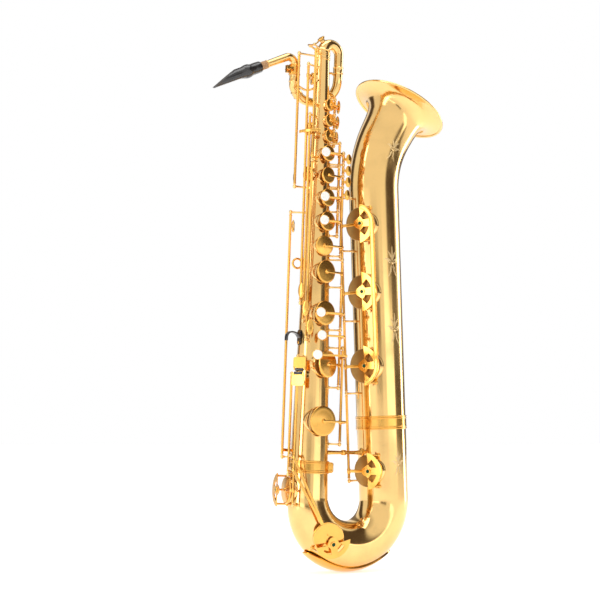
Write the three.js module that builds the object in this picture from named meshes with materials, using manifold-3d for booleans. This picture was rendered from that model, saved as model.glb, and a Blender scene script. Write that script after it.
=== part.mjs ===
// Baritone saxophone with a low A, built as separate tubes, keys, guards and fittings.
// Millimetres, +Z up. X runs from the body tube to the bell, and -Y is the side that the keys face.
// The origin is the lowest point of the plate that guards the bow.

import * as THREE from 'three';
import { mergeVertices } from 'three/addons/utils/BufferGeometryUtils.js';
import Module from 'manifold-3d';

const wasm = await Module();
wasm.setup();

// ---------------------------------------------------------------- driving dimensions

const WALL = 0.9; // sheet brass
const GAP = 0.3; // between pieces that touch
const PAD_GAP = 0.4; // between a closed pad and its tone hole

const BOW_RADIUS = 84; // centre line of the half turn at the foot
const BOW_TUBE_RADIUS = 46.5; // at the lowest point
const BODY_LEAN = 2.3; // degrees, towards the bell
const BELL_LEAN = 1.9; // degrees, towards the body

const BODY_FOOT_RADIUS = 37.4;
const BODY_TAPER = 0.02945; // radius lost for each millimetre upwards
const BODY_START = 60; // above the end of the bow's curve
const BODY_LENGTH = 791;

const BELL_TUBE_RADIUS = 47;
const BELL_START = 145;
const BELL_STRAIGHT = 445;
const BELL_CURVE = 118;
const BELL_TURN = 31.5; // degrees, away from the body
const BELL_FLARE = 65;
const BELL_RIM_RADIUS = 91;
const RIM_BEAD = 2.4;

const LOOP_TUBE_RADIUS = 8.6;
const LOOP_TURN_CLEARANCE = 5.16; // centre line of the half turn, beyond the body tube's wall

const CHIMNEY_RISE = 3; // seat of a tone hole above the tube
const CHIMNEY_WALL = 1.1;
const PAD_LAP = 3.4; // a cup is this much wider than its hole
const CUP_DEPTH = 5.6;
const HINGE_RADIUS = 2.5;
const POST_RADIUS = 2;
const POST_HEAD = 3.3; // radius and half length of the barrel that holds a hinge
const ARM_WIDTH = 5;
const ARM_THICKNESS = 2.6;
const PEARL_RADIUS = 8.6;

const TUBE_SIDES = 16;
const HOLE_SIDES = 10;

const GUARD_PLATE = 2;
const BOW_GUARD_STANDOFF = 1.2; // solder gap under the bow's plate
const BOW_GUARD_SPREAD = 32; // degrees each way round the tube
const BOW_GUARD_REACH = 45; // degrees each way along the bow
const BOW_GUARD_STEPS = 9;

const NECK_ANGLE = 26; // degrees below the horizontal
const MOUTHPIECE_LENGTH = 108;
const MOUTHPIECE_RADIUS = 11.4;

// ---------------------------------------------------------------- materials

const lacquer = () => new THREE.MeshStandardMaterial({ color: 0xe2ab55, roughness: 0.16, metalness: 1 });
const keyLacquer = () => new THREE.MeshStandardMaterial({ color: 0xd99a3c, roughness: 0.2, metalness: 1 });
const ebonite = () => new THREE.MeshStandardMaterial({ color: 0x0b0b0d, roughness: 0.22, metalness: 0 });
const cork = () => new THREE.MeshStandardMaterial({ color: 0xc7946f, roughness: 0.85, metalness: 0 });
const felt = () => new THREE.MeshStandardMaterial({ color: 0x0c3b26, roughness: 0.95, metalness: 0 });
const pearl = () => new THREE.MeshStandardMaterial({ color: 0xf3efe8, roughness: 0.18, metalness: 0 });

// ---------------------------------------------------------------- geometry helpers

const radians = THREE.MathUtils.degToRad;

/** Merges a geometry's corners, drops flat slivers and turns its faces outwards. */
function closed(geometry) {
  const bare = geometry.clone();
  bare.deleteAttribute('normal');
  bare.deleteAttribute('uv');
  const merged = mergeVertices(bare, 1e-3);
  const index = merged.getIndex().array;
  const kept = [];
  const corner = [new THREE.Vector3(), new THREE.Vector3(), new THREE.Vector3()];
  let volume = 0;
  for (let i = 0; i < index.length; i += 3) {
    const [a, b, c] = [index[i], index[i + 1], index[i + 2]];
    if (a === b || b === c || a === c) continue;
    kept.push(a, b, c);
    [a, b, c].forEach((v, k) => corner[k].fromBufferAttribute(merged.getAttribute('position'), v));
    volume += corner[0].dot(corner[1].cross(corner[2]));
  }
  if (volume < 0) kept.reverse();
  merged.setIndex(kept);
  return merged;
}

function toSolid(geometry) {
  const mesh = closed(geometry);
  const vertProperties = new Float32Array(mesh.getAttribute('position').array);
  const triVerts = new Uint32Array(mesh.getIndex().array);
  return new wasm.Manifold(new wasm.Mesh({ numProp: 3, vertProperties, triVerts }));
}

function toGeometry(solid) {
  const mesh = solid.getMesh();
  const geometry = new THREE.BufferGeometry();
  geometry.setAttribute('position', new THREE.BufferAttribute(new Float32Array(mesh.vertProperties), 3));
  geometry.setIndex(new THREE.BufferAttribute(new Uint32Array(mesh.triVerts), 1));
  return geometry;
}

/** Joins pieces, then cuts the cutters out of the result. */
function joined(pieces, cutters = []) {
  let solid = toSolid(pieces[0]);
  for (const piece of pieces.slice(1)) solid = solid.add(toSolid(piece));
  for (const cutter of cutters) solid = solid.subtract(toSolid(cutter));
  return toGeometry(solid);
}

/** A turned piece about Z from [radius, height] points. */
function turned(profile, sides = 20) {
  const points = profile.map(([radius, height]) => new THREE.Vector2(radius, height));
  return closed(new THREE.LatheGeometry(points, sides).rotateX(Math.PI / 2));
}

/** The same profile set inwards by a wall, and closed into a ring-shaped section. */
function walled(profile, wall) {
  const inner = profile.map(([radius, height], i) => {
    const [r0, h0] = profile[Math.max(i - 1, 0)];
    const [r1, h1] = profile[Math.min(i + 1, profile.length - 1)];
    const length = Math.hypot(r1 - r0, h1 - h0);
    return [radius - wall * (h1 - h0) / length, height + wall * (r1 - r0) / length];
  });
  return [...profile, ...inner.reverse(), profile[0]];
}

function cylinder(radius, length, sides = 8) {
  return turned([[0, 0], [radius, 0], [radius, length], [0, length]], sides);
}

/** Turns a piece made about +Z to point along a direction, and moves it. */
function aimed(geometry, from, direction) {
  const up = new THREE.Vector3(0, 0, 1);
  const turn = new THREE.Quaternion().setFromUnitVectors(up, direction.clone().normalize());
  return geometry.applyQuaternion(turn).translate(from.x, from.y, from.z);
}

function rod(from, to, radius, sides = 6) {
  const along = to.clone().sub(from);
  return aimed(cylinder(radius, along.length(), sides), from, along);
}

/** A flat bar between two points; face is the way its broad side looks. */
function bar(from, to, width, thickness, face) {
  const along = to.clone().sub(from);
  const z = along.clone().normalize();
  const x = face.clone().addScaledVector(z, -face.dot(z)).normalize();
  const y = z.clone().cross(x);
  const box = new THREE.BoxGeometry(thickness, width, along.length()).translate(0, 0, along.length() / 2);
  return box.applyMatrix4(new THREE.Matrix4().makeBasis(x, y, z).setPosition(from));
}

/** A plate from outline points in the XY plane, raised along Z. */
function plate(points, thickness, holes = [], steps = 1) {
  const shape = new THREE.Shape(points.map(([x, y]) => new THREE.Vector2(x, y)));
  holes.forEach((hole) => shape.holes.push(new THREE.Path(hole.map(([x, y]) => new THREE.Vector2(x, y)))));
  return new THREE.ExtrudeGeometry(shape, { depth: thickness, steps, bevelEnabled: false });
}

/** Points on an arc in degrees, both ends included. */
function arc(x, y, radius, from, to, steps) {
  return Array.from({ length: steps + 1 }, (_, i) => {
    const angle = radians(from + (to - from) * i / steps);
    return [x + radius * Math.cos(angle), y + radius * Math.sin(angle)];
  });
}

/** A centre line in the XZ plane, of stretches that each have a length and a turn towards +X. */
function centreLine(start, heading, stretches) {
  return (distance) => {
    let [x, z] = start;
    let angle = radians(heading);
    let left = distance;
    stretches.forEach(([length, turn], i) => {
      const last = i === stretches.length - 1;
      const run = last ? left : Math.min(Math.max(left, 0), length);
      const swing = radians(turn) * run / length;
      if (Math.abs(swing) < 1e-9) {
        x += run * Math.sin(angle);
        z += run * Math.cos(angle);
      } else {
        x += run / swing * (Math.cos(angle) - Math.cos(angle + swing));
        z += run / swing * (Math.sin(angle + swing) - Math.sin(angle));
      }
      angle += swing;
      left -= run;
    });
    return { x, z, angle };
  };
}

/** Bends a piece made along Z so that Z follows the centre line and X points outwards from it. */
function bent(geometry, line) {
  const piece = geometry.clone();
  const position = piece.getAttribute('position');
  for (let i = 0; i < position.count; i += 1) {
    const { x, z, angle } = line(position.getZ(i));
    const out = position.getX(i);
    position.setX(i, x + out * Math.cos(angle));
    position.setZ(i, z - out * Math.sin(angle));
  }
  return piece;
}

// ---------------------------------------------------------------- frames and centre lines

const bowGuardInner = BOW_TUBE_RADIUS + BOW_GUARD_STANDOFF;
const bowGuardDrop = (bowGuardInner + GUARD_PLATE) * Math.cos(radians(BOW_GUARD_SPREAD / BOW_GUARD_STEPS));
const bowHeight = (BOW_RADIUS + bowGuardDrop) * Math.cos(radians(BOW_GUARD_REACH / BOW_GUARD_STEPS));
const bodyRadius = (z) => BODY_FOOT_RADIUS - BODY_TAPER * z;
const BODY_END = BODY_START + BODY_LENGTH;

const saxophone = new THREE.Group();

/** A group standing on one end of the bow, with Z along that tube. */
function tubeFrame(side, lean) {
  const frame = new THREE.Group();
  const angle = radians(lean);
  frame.position.set(side * BOW_RADIUS * Math.cos(angle), 0, bowHeight + BOW_RADIUS * Math.sin(angle));
  frame.rotation.y = -side * angle;
  frame.updateMatrix();
  saxophone.add(frame);
  return frame;
}

const body = tubeFrame(-1, BODY_LEAN);
const bell = tubeFrame(1, BELL_LEAN);

const bowTurn = 180 + BODY_LEAN + BELL_LEAN;
const bowCurve = radians(bowTurn) * BOW_RADIUS;
const bowTop = new THREE.Vector3(0, 0, BODY_START).applyMatrix4(body.matrix);
const bowLine = centreLine([bowTop.x, bowTop.z], 180 + BODY_LEAN,
  [[BODY_START, 0], [bowCurve, -bowTurn], [BELL_START, 0]]);
const bellLine = centreLine([0, 0], 0,
  [[BELL_START + BELL_STRAIGHT, 0], [BELL_CURVE, BELL_TURN], [BELL_FLARE, 0]]);

/** A point beside a tube: azimuth 0 faces -Y and 90 faces +X. */
function beside(azimuth, distance, z) {
  const angle = radians(azimuth);
  return new THREE.Vector3(distance * Math.sin(angle), -distance * Math.cos(angle), z);
}

const outward = (azimuth) => beside(azimuth, 1, 0);
const across = (azimuth) => new THREE.Vector3(Math.cos(radians(azimuth)), Math.sin(radians(azimuth)), 0);

function add(frame, name, geometry, material) {
  const mesh = new THREE.Mesh(closed(geometry), material);
  mesh.name = name;
  frame.add(mesh);
  return mesh;
}

/**
 * Adds a piece that turns about a hinge. Its geometry is drawn closed, in the frame's coordinates;
 * it stands at rest degrees, and the range is counted from there.
 */
function addHinged(frame, name, geometry, material, { at, axis, rest = 0, range, follows, ratio }) {
  const pivot = new THREE.Group();
  pivot.position.copy(at);
  pivot.quaternion.setFromAxisAngle(axis, radians(rest));
  frame.add(pivot);
  const mesh = add(pivot, name, geometry.clone().translate(-at.x, -at.y, -at.z), material);
  mesh.userData.hinge = { axis: axis.toArray(), range, follows, ratio };
  return pivot;
}

// ---------------------------------------------------------------- tone holes and posts

const seatHeight = (tubeRadius) => tubeRadius + CHIMNEY_RISE;

const chimneyWall = (hole, tubeRadius) => aimed(
  cylinder(hole.radius + CHIMNEY_WALL, seatHeight(tubeRadius), HOLE_SIDES),
  beside(0, 0, hole.z), outward(hole.azimuth));

const chimneyBore = (hole, tubeRadius) => aimed(
  cylinder(hole.radius, seatHeight(tubeRadius) + 5, HOLE_SIDES), beside(0, 0, hole.z), outward(hole.azimuth));

/** A post from the tube's wall to a hinge, with a barrel along the hinge at its head. */
function post(azimuth, distance, z, root) {
  const head = beside(azimuth, distance, z);
  const low = head.clone().setZ(z - POST_HEAD);
  const high = head.clone().setZ(z + POST_HEAD);
  return [rod(beside(azimuth, root, z), head, POST_RADIUS, 5), rod(low, high, POST_HEAD)];
}

// ---------------------------------------------------------------- keys

const Z_AXIS = new THREE.Vector3(0, 0, 1);
const IN_RANGE = 0.999; // keeps a coupled piece just inside its own range

/** The seat, cup radius and mid-point of a tone hole's cup. */
function cupPlace(hole, tubeRadius) {
  const seat = seatHeight(tubeRadius) + PAD_GAP;
  return { radius: hole.radius + PAD_LAP, seat, top: seat + CUP_DEPTH };
}

function cup(hole, tubeRadius) {
  const { radius, seat } = cupPlace(hole, tubeRadius);
  const profile = [[0, 0], [radius, 0], [radius, 3.4], [radius - 3, 4.8], [0, CUP_DEPTH]];
  return aimed(turned(profile, HOLE_SIDES), beside(hole.azimuth, seat, hole.z), outward(hole.azimuth));
}

/** An arm that rises from the hinge tube and runs level to a point: height is measured from the tube's axis. */
function arm(hinge, azimuth, reach, height, z) {
  const out = outward(azimuth);
  const side = across(azimuth);
  const foot = beside(hinge.azimuth, hinge.distance, z);
  const rise = height - foot.dot(out);
  const corner = foot.clone().addScaledVector(out, rise);
  const end = out.clone().multiplyScalar(height).addScaledVector(side, reach).setZ(z);
  const overlap = corner.clone().sub(end).normalize().multiplyScalar(ARM_THICKNESS / 2);
  const past = corner.clone().addScaledVector(out, Math.sign(rise) * ARM_THICKNESS / 2);
  return [
    bar(foot, past, ARM_WIDTH, ARM_THICKNESS, side),
    bar(corner.add(overlap), end, ARM_WIDTH, ARM_THICKNESS, out),
  ];
}

function hingeTube(hinge, from, to) {
  const foot = beside(hinge.azimuth, hinge.distance, from);
  return rod(foot, foot.clone().setZ(to), HINGE_RADIUS, 8);
}

/** A touch plate with round ends, its length along Z. */
function touch(azimuth, distance, z, width, length) {
  const end = width / 2;
  const flat = length / 2 - end;
  const outline = [...arc(0, flat, end, 0, 180, 5), ...arc(0, -flat, end, 180, 360, 5)];
  const basis = new THREE.Matrix4().makeBasis(across(azimuth), Z_AXIS, outward(azimuth).negate());
  return plate(outline, 2.4).applyMatrix4(basis.setPosition(beside(azimuth, distance, z)));
}

function pearlHolder(azimuth, distance, z) {
  const profile = [[0, 0], [3, 0], [PEARL_RADIUS + 1.2, 2.4], [PEARL_RADIUS + 1.2, 4], [0, 4]];
  return aimed(turned(profile, 10), beside(azimuth, distance, z), outward(azimuth));
}

function pearlDisc(azimuth, distance, z) {
  const profile = [[0, 0], [PEARL_RADIUS, 0], [PEARL_RADIUS, 1.2], [PEARL_RADIUS - 2.4, 2], [0, 2.2]];
  return aimed(turned(profile, 10), beside(azimuth, distance, z), outward(azimuth));
}

/** How far, in degrees about +Z, a key turns to lift its cup, with the sign that lifts it. */
function liftTurn(hinge, hole, lift) {
  const out = outward(hole.azimuth);
  const lever = out.clone().multiplyScalar(hinge.distance).setZ(0).sub(beside(hinge.azimuth, hinge.distance, 0));
  const swing = Z_AXIS.clone().cross(lever).dot(out);
  return THREE.MathUtils.radToDeg(lift / swing);
}

/**
 * A key of one hinge tube, a cup on an arm, and what the player touches.
 * An open-standing key rests lifted and closes; the others rest shut and lift.
 */
function addKey(frame, radiusAt, spec) {
  const { name, hinge, tube, hole, extra = [], lift = STACK_LIFT, open = true } = spec;
  const pieces = [hingeTube(hinge, ...tube), ...extra];
  if (hole) {
    const tubeRadius = radiusAt(hole.z);
    const height = cupPlace(hole, tubeRadius).top + ARM_THICKNESS / 2 - 0.8;
    pieces.push(cup(hole, tubeRadius), ...arm(hinge, hole.azimuth, 0, height, hole.z));
  }
  const turn = spec.turn ?? liftTurn(hinge, hole, lift);
  const limits = open ? [-turn, 0] : [0, turn];
  return addHinged(frame, name, joined(pieces), keyLacquer(), {
    at: beside(hinge.azimuth, hinge.distance, (tube[0] + tube[1]) / 2),
    axis: Z_AXIS,
    rest: open ? turn : 0,
    range: limits.sort((a, b) => a - b),
    follows: spec.follows,
    ratio: spec.ratio,
  });
}

// ---------------------------------------------------------------- tone hole and hinge layout

// Heights are along each tube, from the end of the bow's curve.
const LOWER_HINGE = { azimuth: 55, distance: BODY_FOOT_RADIUS + 12.6 };
const LOW_D_HINGE = { azimuth: 64, distance: BODY_FOOT_RADIUS + 18.6 };
const UPPER_HINGE = { azimuth: 57, distance: BODY_FOOT_RADIUS + 0.6 };
const TABLE_HINGE = { azimuth: 64, distance: BODY_FOOT_RADIUS + 8.6 };

const STACK_LIFT = 7;
const STACK = {
  d: { azimuth: -4, z: 145, radius: 24.5 },
  e: { azimuth: 10, z: 251, radius: 22 },
  f: { azimuth: -2, z: 346, radius: 19.5 },
  f_sharp: { azimuth: 0, z: 424, radius: 18 },
  g_sharp: { azimuth: 0, z: 474, radius: 15.5 },
  g: { azimuth: 0, z: 520, radius: 15 },
  a: { azimuth: 0, z: 565, radius: 13.5 },
  b_flat: { azimuth: 0, z: 608, radius: 12.5 },
  b: { azimuth: 0, z: 650, radius: 12 },
};

const SIDE_HINGE_DISTANCE = BODY_FOOT_RADIUS + 2.6;
const SIDE_PLATE_DISTANCE = SIDE_HINGE_DISTANCE + 10;
const SIDE = [
  { name: 'side_b_flat_key', turned: -50, hole: { azimuth: -88, z: 612, radius: 11 }, touch: 318 },
  { name: 'side_c_key', turned: -61, hole: { azimuth: -98, z: 700, radius: 10 }, touch: 352 },
  { name: 'side_high_e_key', turned: -72, hole: { azimuth: -106, z: 798, radius: 8.5 }, touch: 386 },
].map((key) => ({ ...key, hinge: { azimuth: key.turned, distance: SIDE_HINGE_DISTANCE } }));

const PALM = [
  { name: 'palm_d_key', hole: { azimuth: 20, z: 686, radius: 9.5 } },
  { name: 'palm_e_flat_key', hole: { azimuth: 20, z: 716, radius: 9 } },
  { name: 'palm_f_key', hole: { azimuth: 20, z: 746, radius: 8.5 } },
];
const PALM_HINGE = { azimuth: 75, distance: BODY_FOOT_RADIUS - 10.4 };
const PALM_PITCH = 30;

const LOW_A_HINGE = { azimuth: -122, distance: BODY_FOOT_RADIUS + 13.6 };
const LOW_A_TUBE = [82, 535];
const OCTAVE_HINGE = { azimuth: -95, distance: BODY_FOOT_RADIUS + 12.6 };
const OCTAVE_TUBE = [590, BODY_END - 13];
const E_FLAT = { azimuth: -100, z: 16, radius: 22 };
const E_FLAT_HINGE = { azimuth: -62, distance: BODY_FOOT_RADIUS + 14.6 };
const E_FLAT_TUBE = [-6, 258];
const LOW_C = { along: 46, azimuth: 12, radius: 25.5 }; // degrees along the bow, and round its tube
const LOW_C_HINGE = { azimuth: -77, distance: BODY_FOOT_RADIUS + 14.6 };
const LOW_C_TUBE = [50, 226];
const SPATULA = { azimuth: -54, distance: BODY_FOOT_RADIUS + 20.1, width: 25, height: 20 };
const ROLLER = { radius: 2.7, length: 17 };

const BELL_HINGE = { azimuth: -98, distance: BELL_TUBE_RADIUS + 24 };
const BELL_HOLES = {
  c_sharp: { azimuth: -62, z: 54, radius: 26.5 },
  b: { azimuth: -62, z: 252, radius: 29 },
  b_flat: { azimuth: -62, z: 392, radius: 29 },
  a: { azimuth: -62, z: 522, radius: 28.5 },
};
const BELL_KEY_NAMES = { c_sharp: 'low_c_sharp_key', b: 'low_b_key', b_flat: 'low_b_flat_key', a: 'low_a_key' };
const BELL_LIFT = 8.5;
const LEVER_TURN = 8; // degrees
const BELL_TUBES = { c_sharp: [40, 197], b: [205, 335], b_flat: [343, 470], a: [478, 572] };

// ---------------------------------------------------------------- body tube

function buildBody() {
  const outer = turned([[0, BODY_START], [bodyRadius(BODY_START), BODY_START], [bodyRadius(BODY_END), BODY_END],
    [0, BODY_END]], TUBE_SIDES);
  const bore = turned([[0, BODY_START - 5], [bodyRadius(BODY_START) - WALL, BODY_START - 5],
    [bodyRadius(BODY_END) - WALL, BODY_END + 5], [0, BODY_END + 5]], TUBE_SIDES);
  const holes = [...Object.values(STACK), ...SIDE.map((key) => key.hole), ...PALM.map((key) => key.hole)];
  const postRows = [
    [LOWER_HINGE, [209, 317, 398, 450]],
    [LOW_D_HINGE, [104, 284]],
    [UPPER_HINGE, [496, 542, 586, 629, 674]],
    [TABLE_HINGE, [458, 590, 612, 634, 656]],
    [PALM_HINGE, PALM.flatMap(({ hole }) => hole.z + PALM_PITCH / 2)],
    [PALM_HINGE, [PALM[0].hole.z - PALM_PITCH / 2]],
    [LOW_A_HINGE, [LOW_A_TUBE[0] - 4.5, LOW_A_TUBE[1] + 4.5]],
    [OCTAVE_HINGE, [OCTAVE_TUBE[0] - 4.5, OCTAVE_TUBE[1] + 4.5]],
    [E_FLAT_HINGE, [E_FLAT_TUBE[1] + 4.5]],
    [LOW_C_HINGE, [LOW_C_TUBE[1] + 4.5]],
    ...SIDE.map((key) => [key.hinge, [key.touch - 22, key.hole.z + 22]]),
  ];
  const posts = postRows.flatMap(([hinge, heights]) => heights.flatMap(
    (z) => post(hinge.azimuth, hinge.distance, z, bodyRadius(z) - 2)));
  const walls = holes.map((hole) => chimneyWall(hole, bodyRadius(hole.z)));
  const bores = holes.map((hole) => chimneyBore(hole, bodyRadius(hole.z)));
  add(body, 'body_tube', joined([outer, ...walls, ...posts], [bore, ...bores]), lacquer());
}

function buildStack() {
  const onBody = (spec) => addKey(body, bodyRadius, spec);
  const armHeight = (hole) => cupPlace(hole, bodyRadius(hole.z)).top + ARM_THICKNESS / 2 - 0.8;

  const touchKey = (name, note, hinge, tube, hole, touchAt) => {
    const place = { azimuth: -22, z: hole.z, height: armHeight(hole), ...touchAt };
    const extra = [
      ...arm(hinge, place.azimuth, 0, place.height, place.z),
      pearlHolder(place.azimuth, place.height, place.z),
    ];
    const pivot = onBody({ name, hinge, tube, hole, extra });
    const disc = pearlDisc(place.azimuth, place.height + 4 + GAP, place.z);
    const origin = pivot.position;
    add(pivot, `pearl_${note}`, disc.translate(-origin.x, -origin.y, -origin.z), pearl());
  };

  const pearlD = { azimuth: -30, z: 266, height: BODY_FOOT_RADIUS + 14.6 };
  touchKey('key_d', 'd', LOW_D_HINGE, [108.5, 279.5], STACK.d, pearlD);
  touchKey('key_e', 'e', LOWER_HINGE, [213.5, 312.5], STACK.e, { z: 303, height: BODY_FOOT_RADIUS + 4.6 });
  touchKey('key_f', 'f', LOWER_HINGE, [321.5, 393.5], STACK.f, {});
  touchKey('key_g', 'g', UPPER_HINGE, [500.5, 537.5], STACK.g, {});
  touchKey('key_a', 'a', UPPER_HINGE, [546.5, 581.5], STACK.a, {});
  touchKey('key_b', 'b', UPPER_HINGE, [633.5, 669.5], STACK.b, {});
  const closesWith = (hinge, hole, followed) => IN_RANGE * liftTurn(hinge, hole, STACK_LIFT)
    / liftTurn(hinge, followed, STACK_LIFT);
  onBody({ name: 'key_f_sharp', hinge: LOWER_HINGE, tube: [402.5, 445.5], hole: STACK.f_sharp, follows: 'key_f',
    ratio: closesWith(LOWER_HINGE, STACK.f_sharp, STACK.f) });
  onBody({ name: 'key_b_flat', hinge: UPPER_HINGE, tube: [590.5, 624.5], hole: STACK.b_flat, follows: 'key_a',
    ratio: closesWith(UPPER_HINGE, STACK.b_flat, STACK.a) });
  onBody({
    name: 'key_g_sharp', hinge: TABLE_HINGE, tube: [462.5, 585.5], hole: STACK.g_sharp, open: false,
    extra: tableTouch(576, 7),
  });
}

/** A little-finger plate on the table, on a short arm that points away from the body. */
function tableTouch(z, reach) {
  const root = beside(TABLE_HINGE.azimuth, TABLE_HINGE.distance, z);
  const tip = root.clone().add(new THREE.Vector3(reach, -7, 0));
  const face = new THREE.Vector3(0, -1, 0);
  const half = new THREE.Vector3(5.5, 0, 0);
  const plateBar = bar(tip.clone().sub(half), tip.clone().add(half), 20, 2.6, face);
  return [bar(root, tip, 6, ARM_THICKNESS, face), plateBar];
}

/** A lever's turn for each degree that its key turns. */
const followRatio = (leverTurn, keyTurn) => -IN_RANGE * leverTurn / keyTurn;

function buildTable() {
  const levers = [
    ['c_sharp_lever', 594.5, 'c_sharp'],
    ['low_b_lever', 616.5, 'b'],
    ['low_b_flat_lever', 638.5, 'b_flat'],
  ];
  for (const [name, z, note] of levers) {
    const keyTurn = liftTurn(BELL_HINGE, BELL_HOLES[note], BELL_LIFT);
    addKey(body, bodyRadius, {
      name, hinge: TABLE_HINGE, tube: [z, z + 13], extra: tableTouch(z + 6.5, 8), turn: LEVER_TURN,
      open: false, follows: BELL_KEY_NAMES[note], ratio: followRatio(LEVER_TURN, keyTurn),
    });
  }
}

function buildSideKeys() {
  for (const { name, hinge, hole, touch: z } of SIDE) {
    const plateAt = { azimuth: hinge.azimuth + 12, distance: SIDE_PLATE_DISTANCE };
    const root = beside(hinge.azimuth, hinge.distance, z);
    const tip = beside(plateAt.azimuth, plateAt.distance, z);
    addKey(body, bodyRadius, {
      name, hinge, hole, open: false, lift: 4, tube: [z - 17.5, hole.z + 17.5],
      extra: [
        bar(root, tip, 6, ARM_THICKNESS, across(hinge.azimuth)),
        touch(plateAt.azimuth, plateAt.distance + 2, z, 13, 29),
      ],
    });
  }
}

function buildPalmKeys() {
  PALM.forEach(({ name, hole }, i) => {
    const z = hole.z;
    const root = beside(PALM_HINGE.azimuth, PALM_HINGE.distance, z);
    const azimuth = 94 - 4 * i;
    const tip = beside(azimuth, PALM_HINGE.distance + 10, z);
    addKey(body, bodyRadius, {
      name, hinge: PALM_HINGE, hole, open: false, lift: 4,
      tube: [z - PALM_PITCH / 2 + 4.5, z + PALM_PITCH / 2 - 4.5],
      extra: [
        bar(root, tip, 6, ARM_THICKNESS, across(PALM_HINGE.azimuth)),
        touch(azimuth, PALM_HINGE.distance + 11, z + 3, 14, 26),
      ],
    });
  });
}

// ---------------------------------------------------------------- bow

/** The matrix of a point on the bow: X points away from the bow's centre, and Z along its tube. */
function bowMatrix(distance) {
  const { x, z, angle } = bowLine(distance);
  const out = new THREE.Vector3(Math.cos(angle), 0, -Math.sin(angle));
  const along = new THREE.Vector3(Math.sin(angle), 0, Math.cos(angle));
  return new THREE.Matrix4().makeBasis(out, new THREE.Vector3(0, 1, 0), along).setPosition(x, 0, z);
}

const bowLength = BODY_START + bowCurve + BELL_START;

/** The bow's tube widens to its lowest point, then hardly at all. */
function bowRadius(distance) {
  const turn = THREE.MathUtils.clamp((distance - BODY_START) / bowCurve, 0, 1);
  if (distance < BODY_START) return bodyRadius(BODY_START - distance);
  if (turn < 0.5) return THREE.MathUtils.lerp(BODY_FOOT_RADIUS, BOW_TUBE_RADIUS, Math.sin(Math.PI * turn));
  return THREE.MathUtils.lerp(BOW_TUBE_RADIUS, BELL_TUBE_RADIUS, 2 * turn - 1);
}

const lowCDistance = BODY_START + radians(LOW_C.along) * BOW_RADIUS;
const lowCMatrix = bowMatrix(lowCDistance);
const lowCHole = { azimuth: LOW_C.azimuth, z: 0, radius: LOW_C.radius };
const lowCTubeRadius = bowRadius(lowCDistance);

function buildBow() {
  const steps = 12;
  const turns = Array.from({ length: steps + 1 }, (_, i) => BODY_START + bowCurve * i / steps);
  const stations = [GAP, ...turns, bowLength];
  const profile = stations.map((distance) => [bowRadius(distance), distance]);
  const wide = stations.map((distance) => [bowRadius(distance) - WALL, distance]);
  const ends = 5;
  wide[0][1] -= ends;
  wide[wide.length - 1][1] += ends;
  const solid = (outline) => {
    const capped = [[0, outline[0][1]], ...outline, [0, outline[outline.length - 1][1]]];
    return bent(turned(capped, TUBE_SIDES), bowLine);
  };
  const onLeg = (frame, pieces) => pieces.map((piece) => piece.applyMatrix4(frame.matrix));
  const legRadius = bodyRadius(E_FLAT.z);
  const walls = [
    ...onLeg(body, [chimneyWall(E_FLAT, legRadius)]),
    ...onLeg(bell, [chimneyWall(BELL_HOLES.c_sharp, BELL_TUBE_RADIUS)]),
    chimneyWall(lowCHole, lowCTubeRadius).applyMatrix4(lowCMatrix),
  ];
  const bores = [
    ...onLeg(body, [chimneyBore(E_FLAT, legRadius)]),
    ...onLeg(bell, [chimneyBore(BELL_HOLES.c_sharp, BELL_TUBE_RADIUS)]),
    chimneyBore(lowCHole, lowCTubeRadius).applyMatrix4(lowCMatrix),
  ];
  const posts = [
    [body, E_FLAT_HINGE, E_FLAT_TUBE, BODY_FOOT_RADIUS],
    [body, LOW_C_HINGE, LOW_C_TUBE, bodyRadius(LOW_C_TUBE[0])],
    [bell, BELL_HINGE, BELL_TUBES.c_sharp, BELL_TUBE_RADIUS],
  ].flatMap(([frame, hinge, tube, radius]) => onLeg(
    frame, post(hinge.azimuth, hinge.distance, tube[0] - 4.5, radius - 2)));
  add(saxophone, 'bow', joined([solid(profile), ...walls, ...posts], [solid(wide), ...bores]), lacquer());

  const spread = BOW_GUARD_SPREAD;
  const section = [
    ...arc(0, 0, bowGuardInner + GUARD_PLATE, -spread, spread, BOW_GUARD_STEPS),
    ...arc(0, 0, bowGuardInner, spread, -spread, BOW_GUARD_STEPS),
  ];
  const reach = 2 * radians(BOW_GUARD_REACH) * BOW_RADIUS;
  const lowest = BODY_START + radians(90 + BODY_LEAN) * BOW_RADIUS;
  const strip = plate(section, reach, [], BOW_GUARD_STEPS).translate(0, 0, lowest - reach / 2);
  add(saxophone, 'bow_guard', bent(strip, bowLine), keyLacquer());
}

/** A band round a tube with a raised bead at each end. */
function ferrule(radius, low, high) {
  const bead = 2.4;
  const rise = 0.9;
  const flat = radius + 1;
  const top = flat + rise;
  return turned([[radius, low], [top, low], [top, low + bead], [flat, low + bead + 0.6],
    [flat, high - bead - 0.6], [top, high - bead], [top, high], [radius, high], [radius, low]], TUBE_SIDES);
}

function buildJoints() {
  const clampLow = BODY_START - 12;
  const band = ferrule(bodyRadius(clampLow) + GAP, clampLow, BODY_START + 12);
  const lugAzimuth = 50;
  const lugFrom = bodyRadius(clampLow) + 1;
  const lugEnds = [lugFrom, lugFrom + 10].map((distance) => beside(lugAzimuth, distance, BODY_START));
  const lug = bar(...lugEnds, 7, 20, Z_AXIS);
  const screws = [-6, 6].flatMap((step) => {
    const middle = beside(lugAzimuth, lugFrom + 6, BODY_START + step);
    const side = across(lugAzimuth);
    return [rod(middle.clone().addScaledVector(side, -8), middle.clone().addScaledVector(side, 8), 2.2)];
  });
  add(body, 'body_bow_clamp', joined([band, lug, ...screws]), keyLacquer());
  add(bell, 'bell_bow_ferrule', ferrule(BELL_TUBE_RADIUS + GAP, BELL_START - 14, BELL_START + 12), keyLacquer());
}

// ---------------------------------------------------------------- bell

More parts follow.
